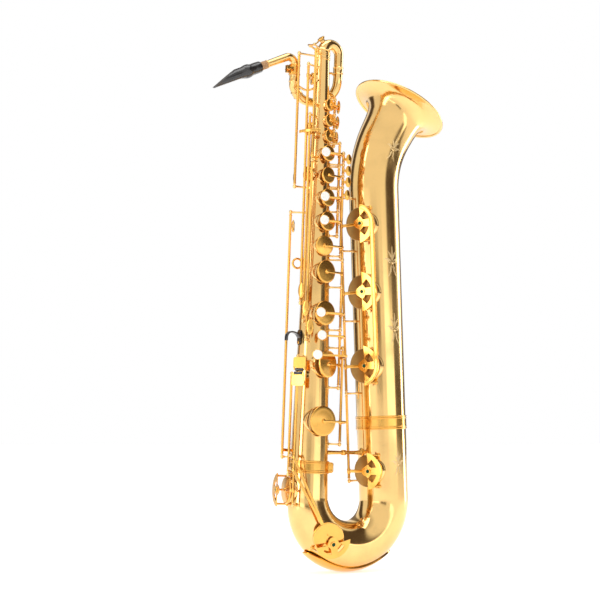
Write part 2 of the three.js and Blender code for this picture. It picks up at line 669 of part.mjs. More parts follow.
const bellLength = BELL_START + BELL_STRAIGHT + BELL_CURVE + BELL_FLARE;

/** The bell's outer radius, from its foot to its rim. */
function bellProfile() {
  const curveStart = BELL_START + BELL_STRAIGHT;
  const curve = [0, 0.2, 0.4, 0.6, 0.8, 1].map((share) => [
    BELL_TUBE_RADIUS + 1 + 3 * share * share, curveStart + share * BELL_CURVE]);
  const throat = BELL_TUBE_RADIUS + 4;
  const grow = BELL_RIM_RADIUS - throat;
  const flare = [[0.5, 0.06], [0.7, 0.16], [0.83, 0.31], [0.92, 0.52], [0.97, 0.73], [1, 1]];
  return [
    [BELL_TUBE_RADIUS, BELL_START + GAP],
    ...curve,
    ...flare.map(([share, open]) => [throat + grow * open, curveStart + BELL_CURVE + share * BELL_FLARE]),
  ];
}

const bellRadius = () => BELL_TUBE_RADIUS + 0.5;

function buildBell() {
  const shell = turned(walled(bellProfile(), WALL), TUBE_SIDES);
  const bead = new THREE.TorusGeometry(BELL_RIM_RADIUS, RIM_BEAD, 6, TUBE_SIDES).translate(0, 0, bellLength);
  const names = ['b', 'b_flat', 'a'];
  const holes = names.map((name) => BELL_HOLES[name]);
  const starts = [...names.map((name) => BELL_TUBES[name][0] - 4), BELL_TUBES.a[1] + 4];
  const posts = starts.flatMap((z) => post(BELL_HINGE.azimuth, BELL_HINGE.distance, z, BELL_TUBE_RADIUS - 2));
  const hollow = turned([[0, BELL_START - 5], [BELL_TUBE_RADIUS - WALL, BELL_START - 5],
    [BELL_TUBE_RADIUS + 1 - WALL, BELL_START + BELL_STRAIGHT], [0, BELL_START + BELL_STRAIGHT]], TUBE_SIDES);
  const walls = holes.map((hole) => chimneyWall(hole, bellRadius()));
  const bores = holes.map((hole) => chimneyBore(hole, bellRadius()));
  add(bell, 'bell', bent(joined([shell, bead, ...walls, ...posts], [hollow, ...bores]), bellLine), lacquer());
}

function buildBellKeys() {
  for (const [note, name] of Object.entries(BELL_KEY_NAMES)) {
    addKey(bell, bellRadius, {
      name, hinge: BELL_HINGE, tube: BELL_TUBES[note], hole: BELL_HOLES[note], lift: BELL_LIFT,
    });
  }
}

// ---------------------------------------------------------------- guards and felts

const GUARD_MARGIN = 6; // the guard's edge beyond the cup
const FELT_RADIUS = 3.2;
const FELT_OFFSET = 9; // from the cup's centre, away from its hinge

/** The height of a guard's underside above the tube's axis. */
const guardHeight = (tubeRadius, lift) => seatHeight(tubeRadius) + PAD_GAP + CUP_DEPTH + lift * 1.35 + 4;

/** A half-moon plate about a cup, open towards its hinge, with two windows and a hole for its felt. */
function halfMoon(cupRadius, reach) {
  const edge = cupRadius + GUARD_MARGIN;
  const inner = cupRadius * 0.3;
  const notch = [[inner, cupRadius * 0.42], [1, 8], [1, -8], [inner, -cupRadius * 0.42]];
  const outline = [...arc(0, 0, edge, -reach, reach, 10), ...notch];
  const corner = cupRadius * 0.62;
  const window = (sign) => [[FELT_OFFSET + 4, sign * 11], [edge - 9, sign * 7], [corner, sign * corner]];
  const feltHole = arc(FELT_OFFSET, 0, FELT_RADIUS + GAP + 0.3, 0, 315, 7);
  return plate(outline, GUARD_PLATE, [feltHole, window(1), window(-1)]);
}

/** The frame of a guard over a hole: X points away from the hinge, and Z outwards. */
function guardMatrix(hole, hingeAzimuth, height, turn = 0) {
  const away = hingeAzimuth > hole.azimuth ? -1 : 1;
  const basis = new THREE.Matrix4().makeBasis(
    across(hole.azimuth).multiplyScalar(away), new THREE.Vector3(0, 0, away), outward(hole.azimuth));
  basis.setPosition(beside(hole.azimuth, height, hole.z));
  return basis.multiply(new THREE.Matrix4().makeRotationZ(radians(turn)));
}

/** A leg from a guard's edge straight down to the tube, at an angle round the guard. */
function guardLeg(cupRadius, angle, height, tubeRadius, turn = 0) {
  const edge = cupRadius + GUARD_MARGIN - 2;
  const [[x, y]] = arc(0, 0, edge, angle, angle, 1);
  const [[round]] = arc(0, 0, edge, angle + turn, angle + turn, 1);
  const foot = Math.sqrt(tubeRadius ** 2 - Math.min(Math.max(Math.abs(round) - 2, 0), tubeRadius) ** 2) + 2.2;
  return rod(new THREE.Vector3(x, y, foot - height), new THREE.Vector3(x, y, 0.5), 2, 6);
}

function feltPlug(matrix) {
  return cylinder(FELT_RADIUS, GUARD_PLATE + 3.5).translate(FELT_OFFSET, 0, -2.5).applyMatrix4(matrix);
}

/** One cup's guard with its legs, and the felt that the cup comes to rest against. */
function addGuard(frame, name, hole, hingeAzimuth, tubeRadius, lift, legs, place = new THREE.Matrix4(), turn = 0) {
  const cupRadius = hole.radius + PAD_LAP;
  const height = guardHeight(tubeRadius, lift);
  const matrix = place.clone().multiply(guardMatrix(hole, hingeAzimuth, height, turn));
  const feet = legs.map((angle) => guardLeg(cupRadius, angle, height, tubeRadius, turn));
  const pieces = [halfMoon(cupRadius, 78), ...feet];
  add(frame, `${name}_guard`, joined(pieces).applyMatrix4(matrix), keyLacquer());
  add(frame, `${name}_felt`, feltPlug(matrix), felt());
}

function buildGuards() {
  addGuard(body, 'e_flat', E_FLAT, E_FLAT_HINGE.azimuth, bodyRadius(E_FLAT.z), 6, [-62, 0, 62]);
  addGuard(saxophone, 'low_c', lowCHole, -90, lowCTubeRadius, 8, [-60, 55], lowCMatrix, 60);
  addGuard(bell, 'low_c_sharp', BELL_HOLES.c_sharp, BELL_HINGE.azimuth, BELL_TUBE_RADIUS, BELL_LIFT, [-60, 60]);

  const notes = ['b', 'b_flat', 'a'];
  const height = guardHeight(bellRadius(), BELL_LIFT);
  const railReach = BELL_HOLES.b.radius + PAD_LAP + GUARD_MARGIN;
  const low = BELL_HOLES.b.z;
  const high = BELL_HOLES.a.z;
  const railMatrix = guardMatrix({ azimuth: BELL_HOLES.b.azimuth, z: low }, BELL_HINGE.azimuth, height);
  const rail = new THREE.BoxGeometry(9, high - low, GUARD_PLATE)
    .translate(railReach - 4.5, (high - low) / 2, GUARD_PLATE / 2).applyMatrix4(railMatrix);
  const pieces = [rail];
  for (const note of notes) {
    const hole = BELL_HOLES[note];
    const cupRadius = hole.radius + PAD_LAP;
    const matrix = guardMatrix(hole, BELL_HINGE.azimuth, height);
    pieces.push(halfMoon(cupRadius, 78).applyMatrix4(matrix));
    for (const angle of [-62, 62]) {
      pieces.push(guardLeg(cupRadius, angle, height, bellRadius()).applyMatrix4(matrix));
    }
    add(bell, `low_${note}_felt`, feltPlug(matrix), felt());
  }
  add(bell, 'bell_key_guard', joined(pieces), keyLacquer());
}

// ---------------------------------------------------------------- little-finger keys of the right hand

function spatula(z, hinge, rollerSide) {
  const { azimuth, distance, width, height } = SPATULA;
  const outline = [...arc(0, 0, 3, 0, 90, 2).map(([x, y]) => [x + width / 2 - 3, y + height / 2 - 3]),
    ...arc(0, 0, 3, 90, 180, 2).map(([x, y]) => [x - width / 2 + 3, y + height / 2 - 3]),
    [-width / 2, -height / 2], [width / 2, -height / 2]];
  const basis = new THREE.Matrix4().makeBasis(
    across(azimuth).multiplyScalar(rollerSide), new THREE.Vector3(0, 0, rollerSide), outward(azimuth));
  const place = basis.setPosition(beside(azimuth, distance, z));
  const ears = [-1, 1].map((side) => {
    const x = side * (ROLLER.length / 2 + 2);
    const root = new THREE.Vector3(x, -height / 2 + 1, 1.2);
    return bar(root, new THREE.Vector3(x, -height / 2 - ROLLER.radius - 1.6, 1.2), 2.4, 2.4, Z_AXIS);
  });
  const foot = beside(hinge.azimuth, hinge.distance, z);
  const edge = width / 2 - 2;
  const tip = across(azimuth).multiplyScalar(THREE.MathUtils.clamp(foot.dot(across(azimuth)), -edge, edge))
    .addScaledVector(outward(azimuth), distance + 1.6).setZ(z);
  return [plate(outline, 2.4).applyMatrix4(place), ...ears.map((ear) => ear.applyMatrix4(place)),
    bar(foot, tip, 8, 3, across(azimuth).cross(outward(azimuth)).cross(tip.clone().sub(foot)))];
}

function addRoller(pivot, name, z) {
  const origin = pivot.position;
  const half = across(SPATULA.azimuth).multiplyScalar(ROLLER.length / 2);
  const middle = beside(SPATULA.azimuth, SPATULA.distance + 1.2, z);
  const barrel = rod(middle.clone().sub(half), middle.clone().add(half), ROLLER.radius, 10);
  const spin = new THREE.Group();
  spin.position.copy(middle.clone().sub(origin));
  pivot.add(spin);
  const mesh = add(spin, name, barrel.translate(-middle.x, -middle.y, -middle.z), ebonite());
  mesh.userData.hinge = { axis: across(SPATULA.azimuth).toArray(), continuous: true };
}

function buildLittleFingerKeys() {
  const rollerStep = ROLLER.radius + 0.5;
  const meeting = 234.5; // height between the two rollers
  const plateStep = rollerStep + ROLLER.radius + 0.6 + SPATULA.height / 2;
  const eFlat = addKey(body, bodyRadius, {
    name: 'e_flat_key', hinge: E_FLAT_HINGE, tube: E_FLAT_TUBE, hole: E_FLAT, open: false, lift: 6,
    extra: spatula(meeting + plateStep, E_FLAT_HINGE, 1),
  });
  addRoller(eFlat, 'e_flat_roller', meeting + rollerStep);

  const inBody = body.matrix.clone().invert().multiply(lowCMatrix);
  const { top } = cupPlace(lowCHole, lowCTubeRadius);
  const cupTop = beside(lowCHole.azimuth, top + ARM_THICKNESS / 2 - 0.8, 0).applyMatrix4(inBody);
  const out = outward(lowCHole.azimuth).transformDirection(inBody);
  const flat = out.clone().setZ(0).normalize();
  const arms = [LOW_C_TUBE[0] + 6, LOW_C_TUBE[0] + 30].flatMap((z) => {
    const foot = beside(LOW_C_HINGE.azimuth, LOW_C_HINGE.distance, z);
    const reach = foot.clone().addScaledVector(flat, cupTop.clone().sub(foot).dot(flat));
    return [bar(foot, reach.clone().addScaledVector(flat, 1), ARM_WIDTH, ARM_THICKNESS, across(0)),
      bar(reach, cupTop, ARM_WIDTH, ARM_THICKNESS, out)];
  });
  const lever = cupTop.clone().sub(beside(LOW_C_HINGE.azimuth, LOW_C_HINGE.distance, 0)).setZ(0);
  const turn = THREE.MathUtils.radToDeg(8 / Z_AXIS.clone().cross(lever).dot(flat));
  const lowC = addKey(body, bodyRadius, {
    name: 'low_c_key', hinge: LOW_C_HINGE, tube: LOW_C_TUBE, turn,
    extra: [cup(lowCHole, lowCTubeRadius).applyMatrix4(inBody), ...arms,
      ...spatula(meeting - plateStep, LOW_C_HINGE, -1)],
  });
  addRoller(lowC, 'low_c_roller', meeting - rollerStep);
}

// ---------------------------------------------------------------- upper loop, neck and mouthpiece

const loopTurnRadius = bodyRadius(BODY_END) + LOOP_TURN_CLEARANCE;
const loopLine = centreLine([0, BODY_END + GAP], 0, [[Math.PI * loopTurnRadius, 180], [20, 0]]);
const LOOP_LEG = { x: -OCTAVE_HINGE.distance, y: 20, top: BODY_END - 40 }; // the leg that holds the neck
const VENT = { along: 15, radius: 4 };
const VENT_TURN = 7; // degrees that each octave piece turns
const OCTAVE_TURN = 6;
const VENT_HINGE = { x: -bodyRadius(BODY_END) - 11.66, z: BODY_END + 11, half: 6 };

/** The frame of the vent hole on the outside of the half turn: azimuth 0 of its hole faces outwards. */
function ventMatrix() {
  const { x, z, angle } = loopLine(VENT.along);
  const out = new THREE.Vector3(-Math.cos(angle), 0, Math.sin(angle));
  const along = new THREE.Vector3(Math.sin(angle), 0, Math.cos(angle));
  const inward = out.clone().negate();
  return new THREE.Matrix4().makeBasis(inward.clone().cross(along), inward, along).setPosition(x, 0, z);
}

const ventHole = { azimuth: 0, z: 0, radius: VENT.radius };
const ventTubeRadius = bodyRadius(BODY_END) - 0.74;

function buildLoop() {
  const turnLength = Math.PI * loopTurnRadius;
  const topRadius = bodyRadius(BODY_END);
  const end = turnLength + 20;
  const stations = Array.from({ length: 11 }, (_, i) => turnLength * i / 10).concat(end);
  const radiusAt = (distance) => THREE.MathUtils.lerp(
    topRadius, LOOP_TUBE_RADIUS, Math.min(distance / turnLength, 1));
  const shape = (inset, beyond) => {
    const outline = stations.map((distance) => [radiusAt(distance) - inset, distance]);
    outline[0][1] -= beyond;
    outline[outline.length - 1][1] += beyond;
    return bent(turned([[0, outline[0][1]], ...outline, [0, outline[outline.length - 1][1]]], 12), loopLine);
  };
  const place = ventMatrix();
  const { x, z } = loopLine(end - 1);
  const path = new THREE.CatmullRomCurve3([
    [x, 0, z], [x, 1, z - 28], [x - 2, 5, z - 48], [x - 13, 16, z - 66], [x - 35, 29, z - 74], [x - 62, 32, z - 68],
    [LOOP_LEG.x + 5, 28, z - 52], [LOOP_LEG.x, LOOP_LEG.y + 1, LOOP_LEG.top - 21],
    [LOOP_LEG.x, LOOP_LEG.y, LOOP_LEG.top - 13], [LOOP_LEG.x, LOOP_LEG.y, LOOP_LEG.top],
  ].map((point) => new THREE.Vector3(...point)));
  const ring = (radius) => new THREE.Shape(arc(0, 0, radius, 0, 315, 7).map(([u, v]) => new THREE.Vector2(u, v)));
  const tube = (radius) => new THREE.ExtrudeGeometry(
    ring(radius), { steps: 18, extrudePath: path, bevelEnabled: false });
  const besideVent = (y) => new THREE.Vector3(VENT_HINGE.x, y, VENT_HINGE.z);
  const posts = [-1, 1].map((side) => rod(
    new THREE.Vector3(-6, side * 5, BODY_END + 2), besideVent(side * (VENT_HINGE.half + 2)), 1.6, 5));
  const heads = [-1, 1].map((side) => rod(
    besideVent(side * (VENT_HINGE.half + 0.5)), besideVent(side * (VENT_HINGE.half + 4)), 2.6, 6));
  const vent = chimneyWall(ventHole, ventTubeRadius).applyMatrix4(place);
  const ventBore = chimneyBore(ventHole, ventTubeRadius).applyMatrix4(place);
  add(body, 'upper_loop', joined(
    [shape(0, 0), tube(LOOP_TUBE_RADIUS), vent, ...posts, ...heads],
    [shape(WALL, 3), tube(LOOP_TUBE_RADIUS - WALL), ventBore],
  ), lacquer());
}

/** The neck's centre line, in the plane of the loop's free leg. */
const NECK_STRAIGHT = 12;
const NECK_TURN_RADIUS = 13;
const NECK_REACH = 78;
const neckTurnLength = NECK_TURN_RADIUS * radians(90 + NECK_ANGLE);
const neckStart = LOOP_LEG.top + GAP;
const neckLine = centreLine([LOOP_LEG.x, neckStart], 0,
  [[NECK_STRAIGHT, 0], [neckTurnLength, -90 - NECK_ANGLE], [NECK_REACH, 0]]);
const neckLength = NECK_STRAIGHT + neckTurnLength + NECK_REACH;
const NECK_RADIUS = LOOP_TUBE_RADIUS - 1;
const NECK_END_RADIUS = NECK_RADIUS - 1.4;
const CORK_LENGTH = 30;
const CORK_RADIUS = NECK_END_RADIUS + 1.7;
const SHANK_OVER_CORK = 16;
const RECEIVER = { low: LOOP_LEG.top - 8, high: LOOP_LEG.top + 12 };

const alongNeck = (geometry) => bent(geometry, neckLine).translate(0, LOOP_LEG.y, 0);

function buildNeck() {
  const { low, high } = RECEIVER;
  const bore = LOOP_TUBE_RADIUS + GAP;
  const ring = turned([[bore, low], [bore + 2.4, low], [bore + 2.4, low + 2], [bore + 1.4, low + 3],
    [bore + 1.4, high - 3], [bore + 2.4, high - 2], [bore + 2.4, high], [bore, high], [bore, low]], 24);
  const lug = new THREE.BoxGeometry(9, 7, 14).translate(-bore - 5, 0, (low + high) / 2);
  const screwAt = new THREE.Vector3(LOOP_LEG.x - bore - 6.5, LOOP_LEG.y, (low + high) / 2);
  const screwHole = rod(screwAt.clone().setY(LOOP_LEG.y - 10), screwAt.clone().setY(LOOP_LEG.y + 10), 2 + GAP, 6);
  const receiver = joined([ring.clone(), lug]).translate(LOOP_LEG.x, LOOP_LEG.y, 0);
  add(body, 'neck_receiver', joined([receiver], [screwHole]), keyLacquer());
  const screw = [
    rod(screwAt.clone().setY(LOOP_LEG.y - 8), screwAt.clone().setY(LOOP_LEG.y + 7), 2, 6),
    rod(screwAt.clone().setY(LOOP_LEG.y - 10), screwAt.clone().setY(LOOP_LEG.y - 6), 3.6, 8),
    new THREE.BoxGeometry(12, 2.4, 7).translate(screwAt.x, LOOP_LEG.y - 12, screwAt.z),
    rod(screwAt.clone().setY(LOOP_LEG.y - 12.5), screwAt.clone().setY(LOOP_LEG.y - 9), 2.4, 6),
  ];
  add(body, 'neck_clamp_screw', joined(screw), keyLacquer());

  const bendEnd = NECK_STRAIGHT + neckTurnLength;
  const turns = [1, 2, 3, 4, 5, 6].map((i) => NECK_STRAIGHT + neckTurnLength * i / 6);
  const stations = [0, NECK_STRAIGHT, ...turns, neckLength];
  const profile = stations.map((at) => [
    THREE.MathUtils.lerp(NECK_RADIUS, NECK_END_RADIUS, Math.max(at - bendEnd, 0) / NECK_REACH), at]);
  const corkStart = neckLength - CORK_LENGTH;
  const neckCollar = turned([[0, 14.5], [NECK_RADIUS + 1.6, 14.5], [NECK_RADIUS + 1.6, 15.5], [0, 15.5]], 12);
  const swivel = new THREE.Vector3(LOOP_LEG.x, LOOP_LEG.y, neckStart);
  const tube = alongNeck(turned(walled(profile, WALL), 12));
  const collar = neckCollar.translate(LOOP_LEG.x, LOOP_LEG.y, neckStart - 14.5 + NECK_STRAIGHT);
  const tenonBore = turned([[0, -2], [NECK_RADIUS - WALL, -2], [NECK_RADIUS - WALL, 20], [0, 20]], 12);
  const neck = joined([tube, collar], [tenonBore.translate(LOOP_LEG.x, LOOP_LEG.y, neckStart)]);
  const neckPivot = addHinged(body, 'neck', neck, lacquer(), { at: swivel, axis: Z_AXIS, range: [-20, 20] });

  const onNeck = (geometry) => geometry.translate(-swivel.x, -swivel.y, -swivel.z);
  const corkInner = (at) => THREE.MathUtils.lerp(NECK_RADIUS, NECK_END_RADIUS, (at - bendEnd) / NECK_REACH) + 0.35;
  const corkFoot = [corkInner(corkStart), corkStart];
  const corkRing = turned([corkFoot, [CORK_RADIUS, corkStart], [CORK_RADIUS, neckLength - 0.5],
    [corkInner(neckLength), neckLength - 0.5], corkFoot], 12);
  add(neckPivot, 'neck_cork', onNeck(alongNeck(corkRing)), cork());

  const shank = neckLength - SHANK_OVER_CORK;
  const r = MOUTHPIECE_RADIUS;
  const outline = [[0, 0], [r - 1.4, 0], [r - 0.6, 2], [r - 0.4, 24], [r + 1.2, 26], [r + 1.6, 30], [r + 1.2, 36],
    [r, 39], [r, 62], [r - 1, MOUTHPIECE_LENGTH], [0, MOUTHPIECE_LENGTH]];
  const blank = turned(outline, 16);
  const boreEnd = MOUTHPIECE_LENGTH - 34;
  const shankInner = CORK_RADIUS + 0.35;
  const shankBore = turned([[0, -1], [shankInner, -1], [shankInner, 24], [CORK_RADIUS - 1.3, 27],
    [CORK_RADIUS - 1.7, boreEnd], [0, boreEnd]], 12);
  const beakStart = 50;
  const tableDepth = r - 2.6;
  const beakTip = -tableDepth + 2.2;
  const beakRun = new THREE.Vector3(beakTip - (r + 2.4), 0, MOUTHPIECE_LENGTH - beakStart);
  const beak = new THREE.BoxGeometry(40, 60, 160)
    .translate(20, 0, 40).rotateY(Math.atan2(beakRun.x, beakRun.z)).translate(r + 2.4, 0, beakStart);
  const table = new THREE.BoxGeometry(20, 60, 100).translate(-tableDepth - 10, 0, 40 + 50);
  const window = new THREE.BoxGeometry(12, 11, 34).translate(-tableDepth, 0, MOUTHPIECE_LENGTH - 27);
  const mouthpiece = joined([blank], [shankBore, beak, table, window]).translate(0, 0, shank);
  const { x, z, angle } = neckLine(shank);
  const slide = new THREE.Vector3(Math.sin(angle), 0, Math.cos(angle));
  const pull = new THREE.Group();
  pull.position.set(x - swivel.x, 0, z - swivel.z);
  neckPivot.add(pull);
  const shaped = onNeck(alongNeck(mouthpiece)).translate(-pull.position.x, 0, -pull.position.z);
  const mesh = add(pull, 'mouthpiece', shaped, ebonite());
  mesh.userData.hinge = { axis: slide.toArray(), range: [-6, 8], slide: true };
}

// ---------------------------------------------------------------- octave and low A mechanisms

function buildLongLevers() {
  const thumb = (hinge, z, azimuth) => {
    const root = beside(hinge.azimuth, hinge.distance, z);
    const tip = beside(azimuth, hinge.distance - 2, z);
    return [bar(root, tip, 6, ARM_THICKNESS, outward(azimuth)), touch(azimuth, hinge.distance - 3, z, 14, 24)];
  };
  const lowAFoot = beside(LOW_A_HINGE.azimuth, LOW_A_HINGE.distance, LOW_A_TUBE[0] + 8);
  const lowATip = beside(180, LOW_A_HINGE.distance - 7, LOW_A_TUBE[0] + 8);
  addKey(body, bodyRadius, {
    name: 'low_a_lever', hinge: LOW_A_HINGE, tube: LOW_A_TUBE, turn: LEVER_TURN, open: false,
    follows: BELL_KEY_NAMES.a, ratio: followRatio(LEVER_TURN, liftTurn(BELL_HINGE, BELL_HOLES.a, BELL_LIFT)),
    extra: [
      ...thumb(LOW_A_HINGE, LOW_A_TUBE[1] - 20, -140),
      bar(lowAFoot, lowATip, 6, ARM_THICKNESS, outward(180)),
    ],
  });

  const crank = beside(OCTAVE_HINGE.azimuth, OCTAVE_HINGE.distance, OCTAVE_TUBE[1] - 4);
  addKey(body, bodyRadius, {
    name: 'octave_lever', hinge: OCTAVE_HINGE, tube: OCTAVE_TUBE, turn: OCTAVE_TURN, open: false,
    extra: [...thumb(OCTAVE_HINGE, OCTAVE_TUBE[0] + 18, -132),
      bar(crank, crank.clone().add(new THREE.Vector3(6, 9, 0)), 5, ARM_THICKNESS, outward(OCTAVE_HINGE.azimuth))],
  });

  const place = ventMatrix();
  const { top } = cupPlace(ventHole, ventTubeRadius);
  const cupTop = beside(0, top - 0.6, 0).applyMatrix4(place);
  const pin = new THREE.Vector3(VENT_HINGE.x, 0, VENT_HINGE.z);
  const half = new THREE.Vector3(0, VENT_HINGE.half, 0);
  const tail = pin.clone().add(new THREE.Vector3(-9, 0, -1));
  addHinged(body, 'octave_vent_key', joined([
    rod(pin.clone().sub(half), pin.clone().add(half), 2),
    cup(ventHole, ventTubeRadius).applyMatrix4(place),
    bar(pin, cupTop, 5, ARM_THICKNESS, cupTop.clone().sub(pin).cross(new THREE.Vector3(0, 1, 0))),
    bar(pin, tail, 5, ARM_THICKNESS, Z_AXIS),
  ]), keyLacquer(), { at: pin, axis: new THREE.Vector3(0, 1, 0), range: [-VENT_TURN, 0], follows: 'octave_lever',
    ratio: -IN_RANGE * VENT_TURN / OCTAVE_TURN });
}

// ---------------------------------------------------------------- braces, hook and strap ring

function buildFittings() {
  const braceHeight = 88; // above the end of the bow's curve
  const inBell = body.matrix.clone().invert().multiply(bell.matrix);
  const left = beside(90, bodyRadius(braceHeight) + GAP, braceHeight);
  const right = beside(-90, BELL_TUBE_RADIUS + 2 * GAP, braceHeight).applyMatrix4(inBell);
  const run = right.clone().sub(left).normalize();
  const flange = (at, way) => rod(at, at.clone().addScaledVector(run, 2.4 * way), 8, 10);
  add(body, 'bell_brace', joined([rod(left, right, 4.2, 10), flange(left, 1), flange(right, -1)]), keyLacquer());

  const hookAt = { azimuth: -92, z: 300 };
  const base = bodyRadius(hookAt.z) + 0.4;
  const hook = [[0, -14], [3, -14], [3, 6], [22, 8], [27, 2], [27, -9], [30, -9], [30, 4], [24, 12],
    [3, 12], [3, 16], [0, 16]];
  const standingAt = ({ azimuth, z }, distance) => new THREE.Matrix4()
    .makeBasis(outward(azimuth), Z_AXIS, across(azimuth).negate())
    .setPosition(beside(azimuth, distance, z));
  add(body, 'thumb_hook', plate(hook, 14).translate(0, 0, -7).applyMatrix4(standingAt(hookAt, base)), ebonite());

  const ringAt = { azimuth: -100, z: 440 };
  const ringRoot = bodyRadius(ringAt.z) + 0.4;
  const ring = new THREE.TorusGeometry(9, 2, 6, 14).translate(12.4, 0, 0);
  const foot = new THREE.BoxGeometry(2.4, 22, 10).translate(1.2, 0, 0);
  add(body, 'strap_ring', joined([ring, foot]).applyMatrix4(standingAt(ringAt, ringRoot)), keyLacquer());
}

buildBody();
buildStack();
buildTable();
buildSideKeys();
buildPalmKeys();
buildBow();
buildJoints();
buildBell();
buildBellKeys();
buildGuards();
buildLittleFingerKeys();
buildLoop();
buildNeck();
buildLongLevers();
buildFittings();

export default saxophone;
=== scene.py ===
"""Baritone saxophone with a low A: its visible pieces, built on the frame of the packed parts."""

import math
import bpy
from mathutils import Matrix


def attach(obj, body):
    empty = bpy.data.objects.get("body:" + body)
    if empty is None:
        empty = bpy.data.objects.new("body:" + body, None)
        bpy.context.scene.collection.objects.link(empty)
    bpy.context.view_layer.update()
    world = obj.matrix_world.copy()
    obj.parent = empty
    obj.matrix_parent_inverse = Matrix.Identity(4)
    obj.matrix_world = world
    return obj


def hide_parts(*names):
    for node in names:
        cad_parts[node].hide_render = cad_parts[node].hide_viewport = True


bl_info = {
    "name": "Baritone Saxophone",
    "version": (1, 0, 0),
    "blender": (4, 5, 0),
    "location": "3D View > Sidebar > Saxophone",
    "description": "Builds a lacquered baritone saxophone over its packed parts",
    "category": "Add Mesh",
}

from collections import namedtuple

import bmesh
import bpy
from bpy.props import FloatProperty, FloatVectorProperty, PointerProperty
from mathutils import Matrix, Vector
from mathutils.geometry import tessellate_polygon

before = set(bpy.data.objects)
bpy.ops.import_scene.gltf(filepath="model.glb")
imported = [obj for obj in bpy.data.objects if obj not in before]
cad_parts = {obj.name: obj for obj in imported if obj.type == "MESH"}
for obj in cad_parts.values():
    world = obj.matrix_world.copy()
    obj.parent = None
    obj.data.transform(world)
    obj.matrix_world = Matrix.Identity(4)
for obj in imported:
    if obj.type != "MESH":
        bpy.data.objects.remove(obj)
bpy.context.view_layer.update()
MM = 0.001
Z_AXIS = Vector((0, 0, 1))

# ---------------------------------------------------------------- sizes and colours


def length(name, description, default):
    return FloatProperty(name=name, description=description, default=default * MM, unit="LENGTH", precision=5)


def angle(name, description, default):
    return FloatProperty(name=name, description=description, default=math.radians(default), unit="ROTATION")


def colour(name, description, default):
    return FloatVectorProperty(name=name, description=description,
                               default=default, subtype="COLOR", min=0, max=1)


def share(name, description, default):
    return FloatProperty(name=name, description=description, default=default, min=0, max=1, subtype="FACTOR")


class SaxophoneTubes(bpy.types.PropertyGroup):
    """Sizes of the body, bow, bell and upper loop"""

    wall: length("Wall", "Thickness of the sheet brass", 0.9)
    bow_radius: length("Bow radius", "Centre line of the half turn at the foot", 84)
    bow_tube: length("Bow tube", "Radius of the bow at its lowest point", 46.5)
    body_lean: angle("Body lean", "Lean of the body towards the bell", 2.3)
    bell_lean: angle("Bell lean", "Lean of the bell towards the body", 1.9)
    body_foot: length("Body foot", "Radius of the body tube at its foot", 37.4)
    body_taper: FloatProperty(name="Body taper", description="Radius lost with height",
                              default=0.02945, precision=5)
    body_start: length("Body start", "Foot of the body tube above the bow's curve", 60)
    body_length: length("Body length", "Length of the body tube", 791)
    bell_tube: length("Bell tube", "Radius of the straight part of the bell", 47)
    bell_start: length("Bell start", "Foot of the bell above the bow's curve", 145)
    bell_straight: length("Bell straight", "Length of the bell's straight part", 445)
    bell_curve: length("Bell curve", "Length of the bell's bend", 118)
    bell_turn: angle("Bell turn", "Turn of the flare away from the body", 31.5)
    bell_flare: length("Bell flare", "Length of the flare", 65)
    bell_rim: length("Bell rim", "Radius of the rim", 91)
    rim_bead: length("Rim bead", "Radius of the rolled rim", 2.4)
    loop_tube: length("Loop tube", "Radius of the crook's tube", 8.6)
    loop_turn: length("Loop turn", "Radius of the half turn above the body", 17.5)


class SaxophoneKeywork(bpy.types.PropertyGroup):
    """Sizes of keys, posts and guards"""

    chimney_rise: length("Chimney rise", "Seat of a tone hole above its tube", 3)
    pad_gap: length("Pad gap", "Gap between a closed pad and its seat", 0.4)
    pad_lap: length("Pad lap", "Cup radius beyond its tone hole", 3.4)
    cup_depth: length("Cup depth", "Height of a key cup with its pad", 5.6)
    hinge_tube: length("Hinge tube", "Radius of a hinge tube", 2.5)
    post_neck: length("Post neck", "Radius of a post at its thinnest", 1.7)
    post_ball: length("Post ball", "Radius of the ball that holds a hinge", 3.3)
    arm_width: length("Arm width", "Width of a key arm at its hinge", 5)
    arm_depth: length("Arm depth", "Thickness of a key arm", 2.6)
    pearl: length("Pearl", "Radius of a finger pearl", 8.6)
    stack_lift: length("Stack lift", "Opening of a stack key", 7)
    bell_lift: length("Bell key lift", "Opening of a bell key", 8.5)
    guard_plate: length("Guard plate", "Thickness of a key guard", 2)


class SaxophoneFinish(bpy.types.PropertyGroup):
    """Colours and gloss of the pieces"""

    lacquer: colour("Lacquer", "Lacquered brass of the tubes", (0.89, 0.58, 0.215))
    lacquer_gloss: share("Lacquer roughness", "Roughness of the tubes", 0.085)
    keys: colour("Key lacquer", "Lacquered brass of the keys", (0.87, 0.475, 0.10))
    keys_gloss: share("Key roughness", "Roughness of the keys", 0.13)
    cups: colour("Bell cups", "Satin brass of the bell key cups", (0.42, 0.235, 0.07))
    cups_gloss: share("Bell cup roughness", "Roughness of the bell key cups", 0.30)
    ebonite: colour("Ebonite", "Mouthpiece, rollers and thumb hook", (0.008, 0.008, 0.010))
    cork: colour("Cork", "Cork of the neck", (0.56, 0.33, 0.17))
    felt: colour("Felt", "Felt bumpers of the guards", (0.006, 0.055, 0.022))
    pearl: colour("Pearl", "Finger pearls", (0.86, 0.83, 0.78))
    leather: colour("Leather", "Leather of the pads", (0.42, 0.24, 0.11))
    engraving: colour("Engraving", "Raised lines of the ornaments", (0.93, 0.66, 0.32))


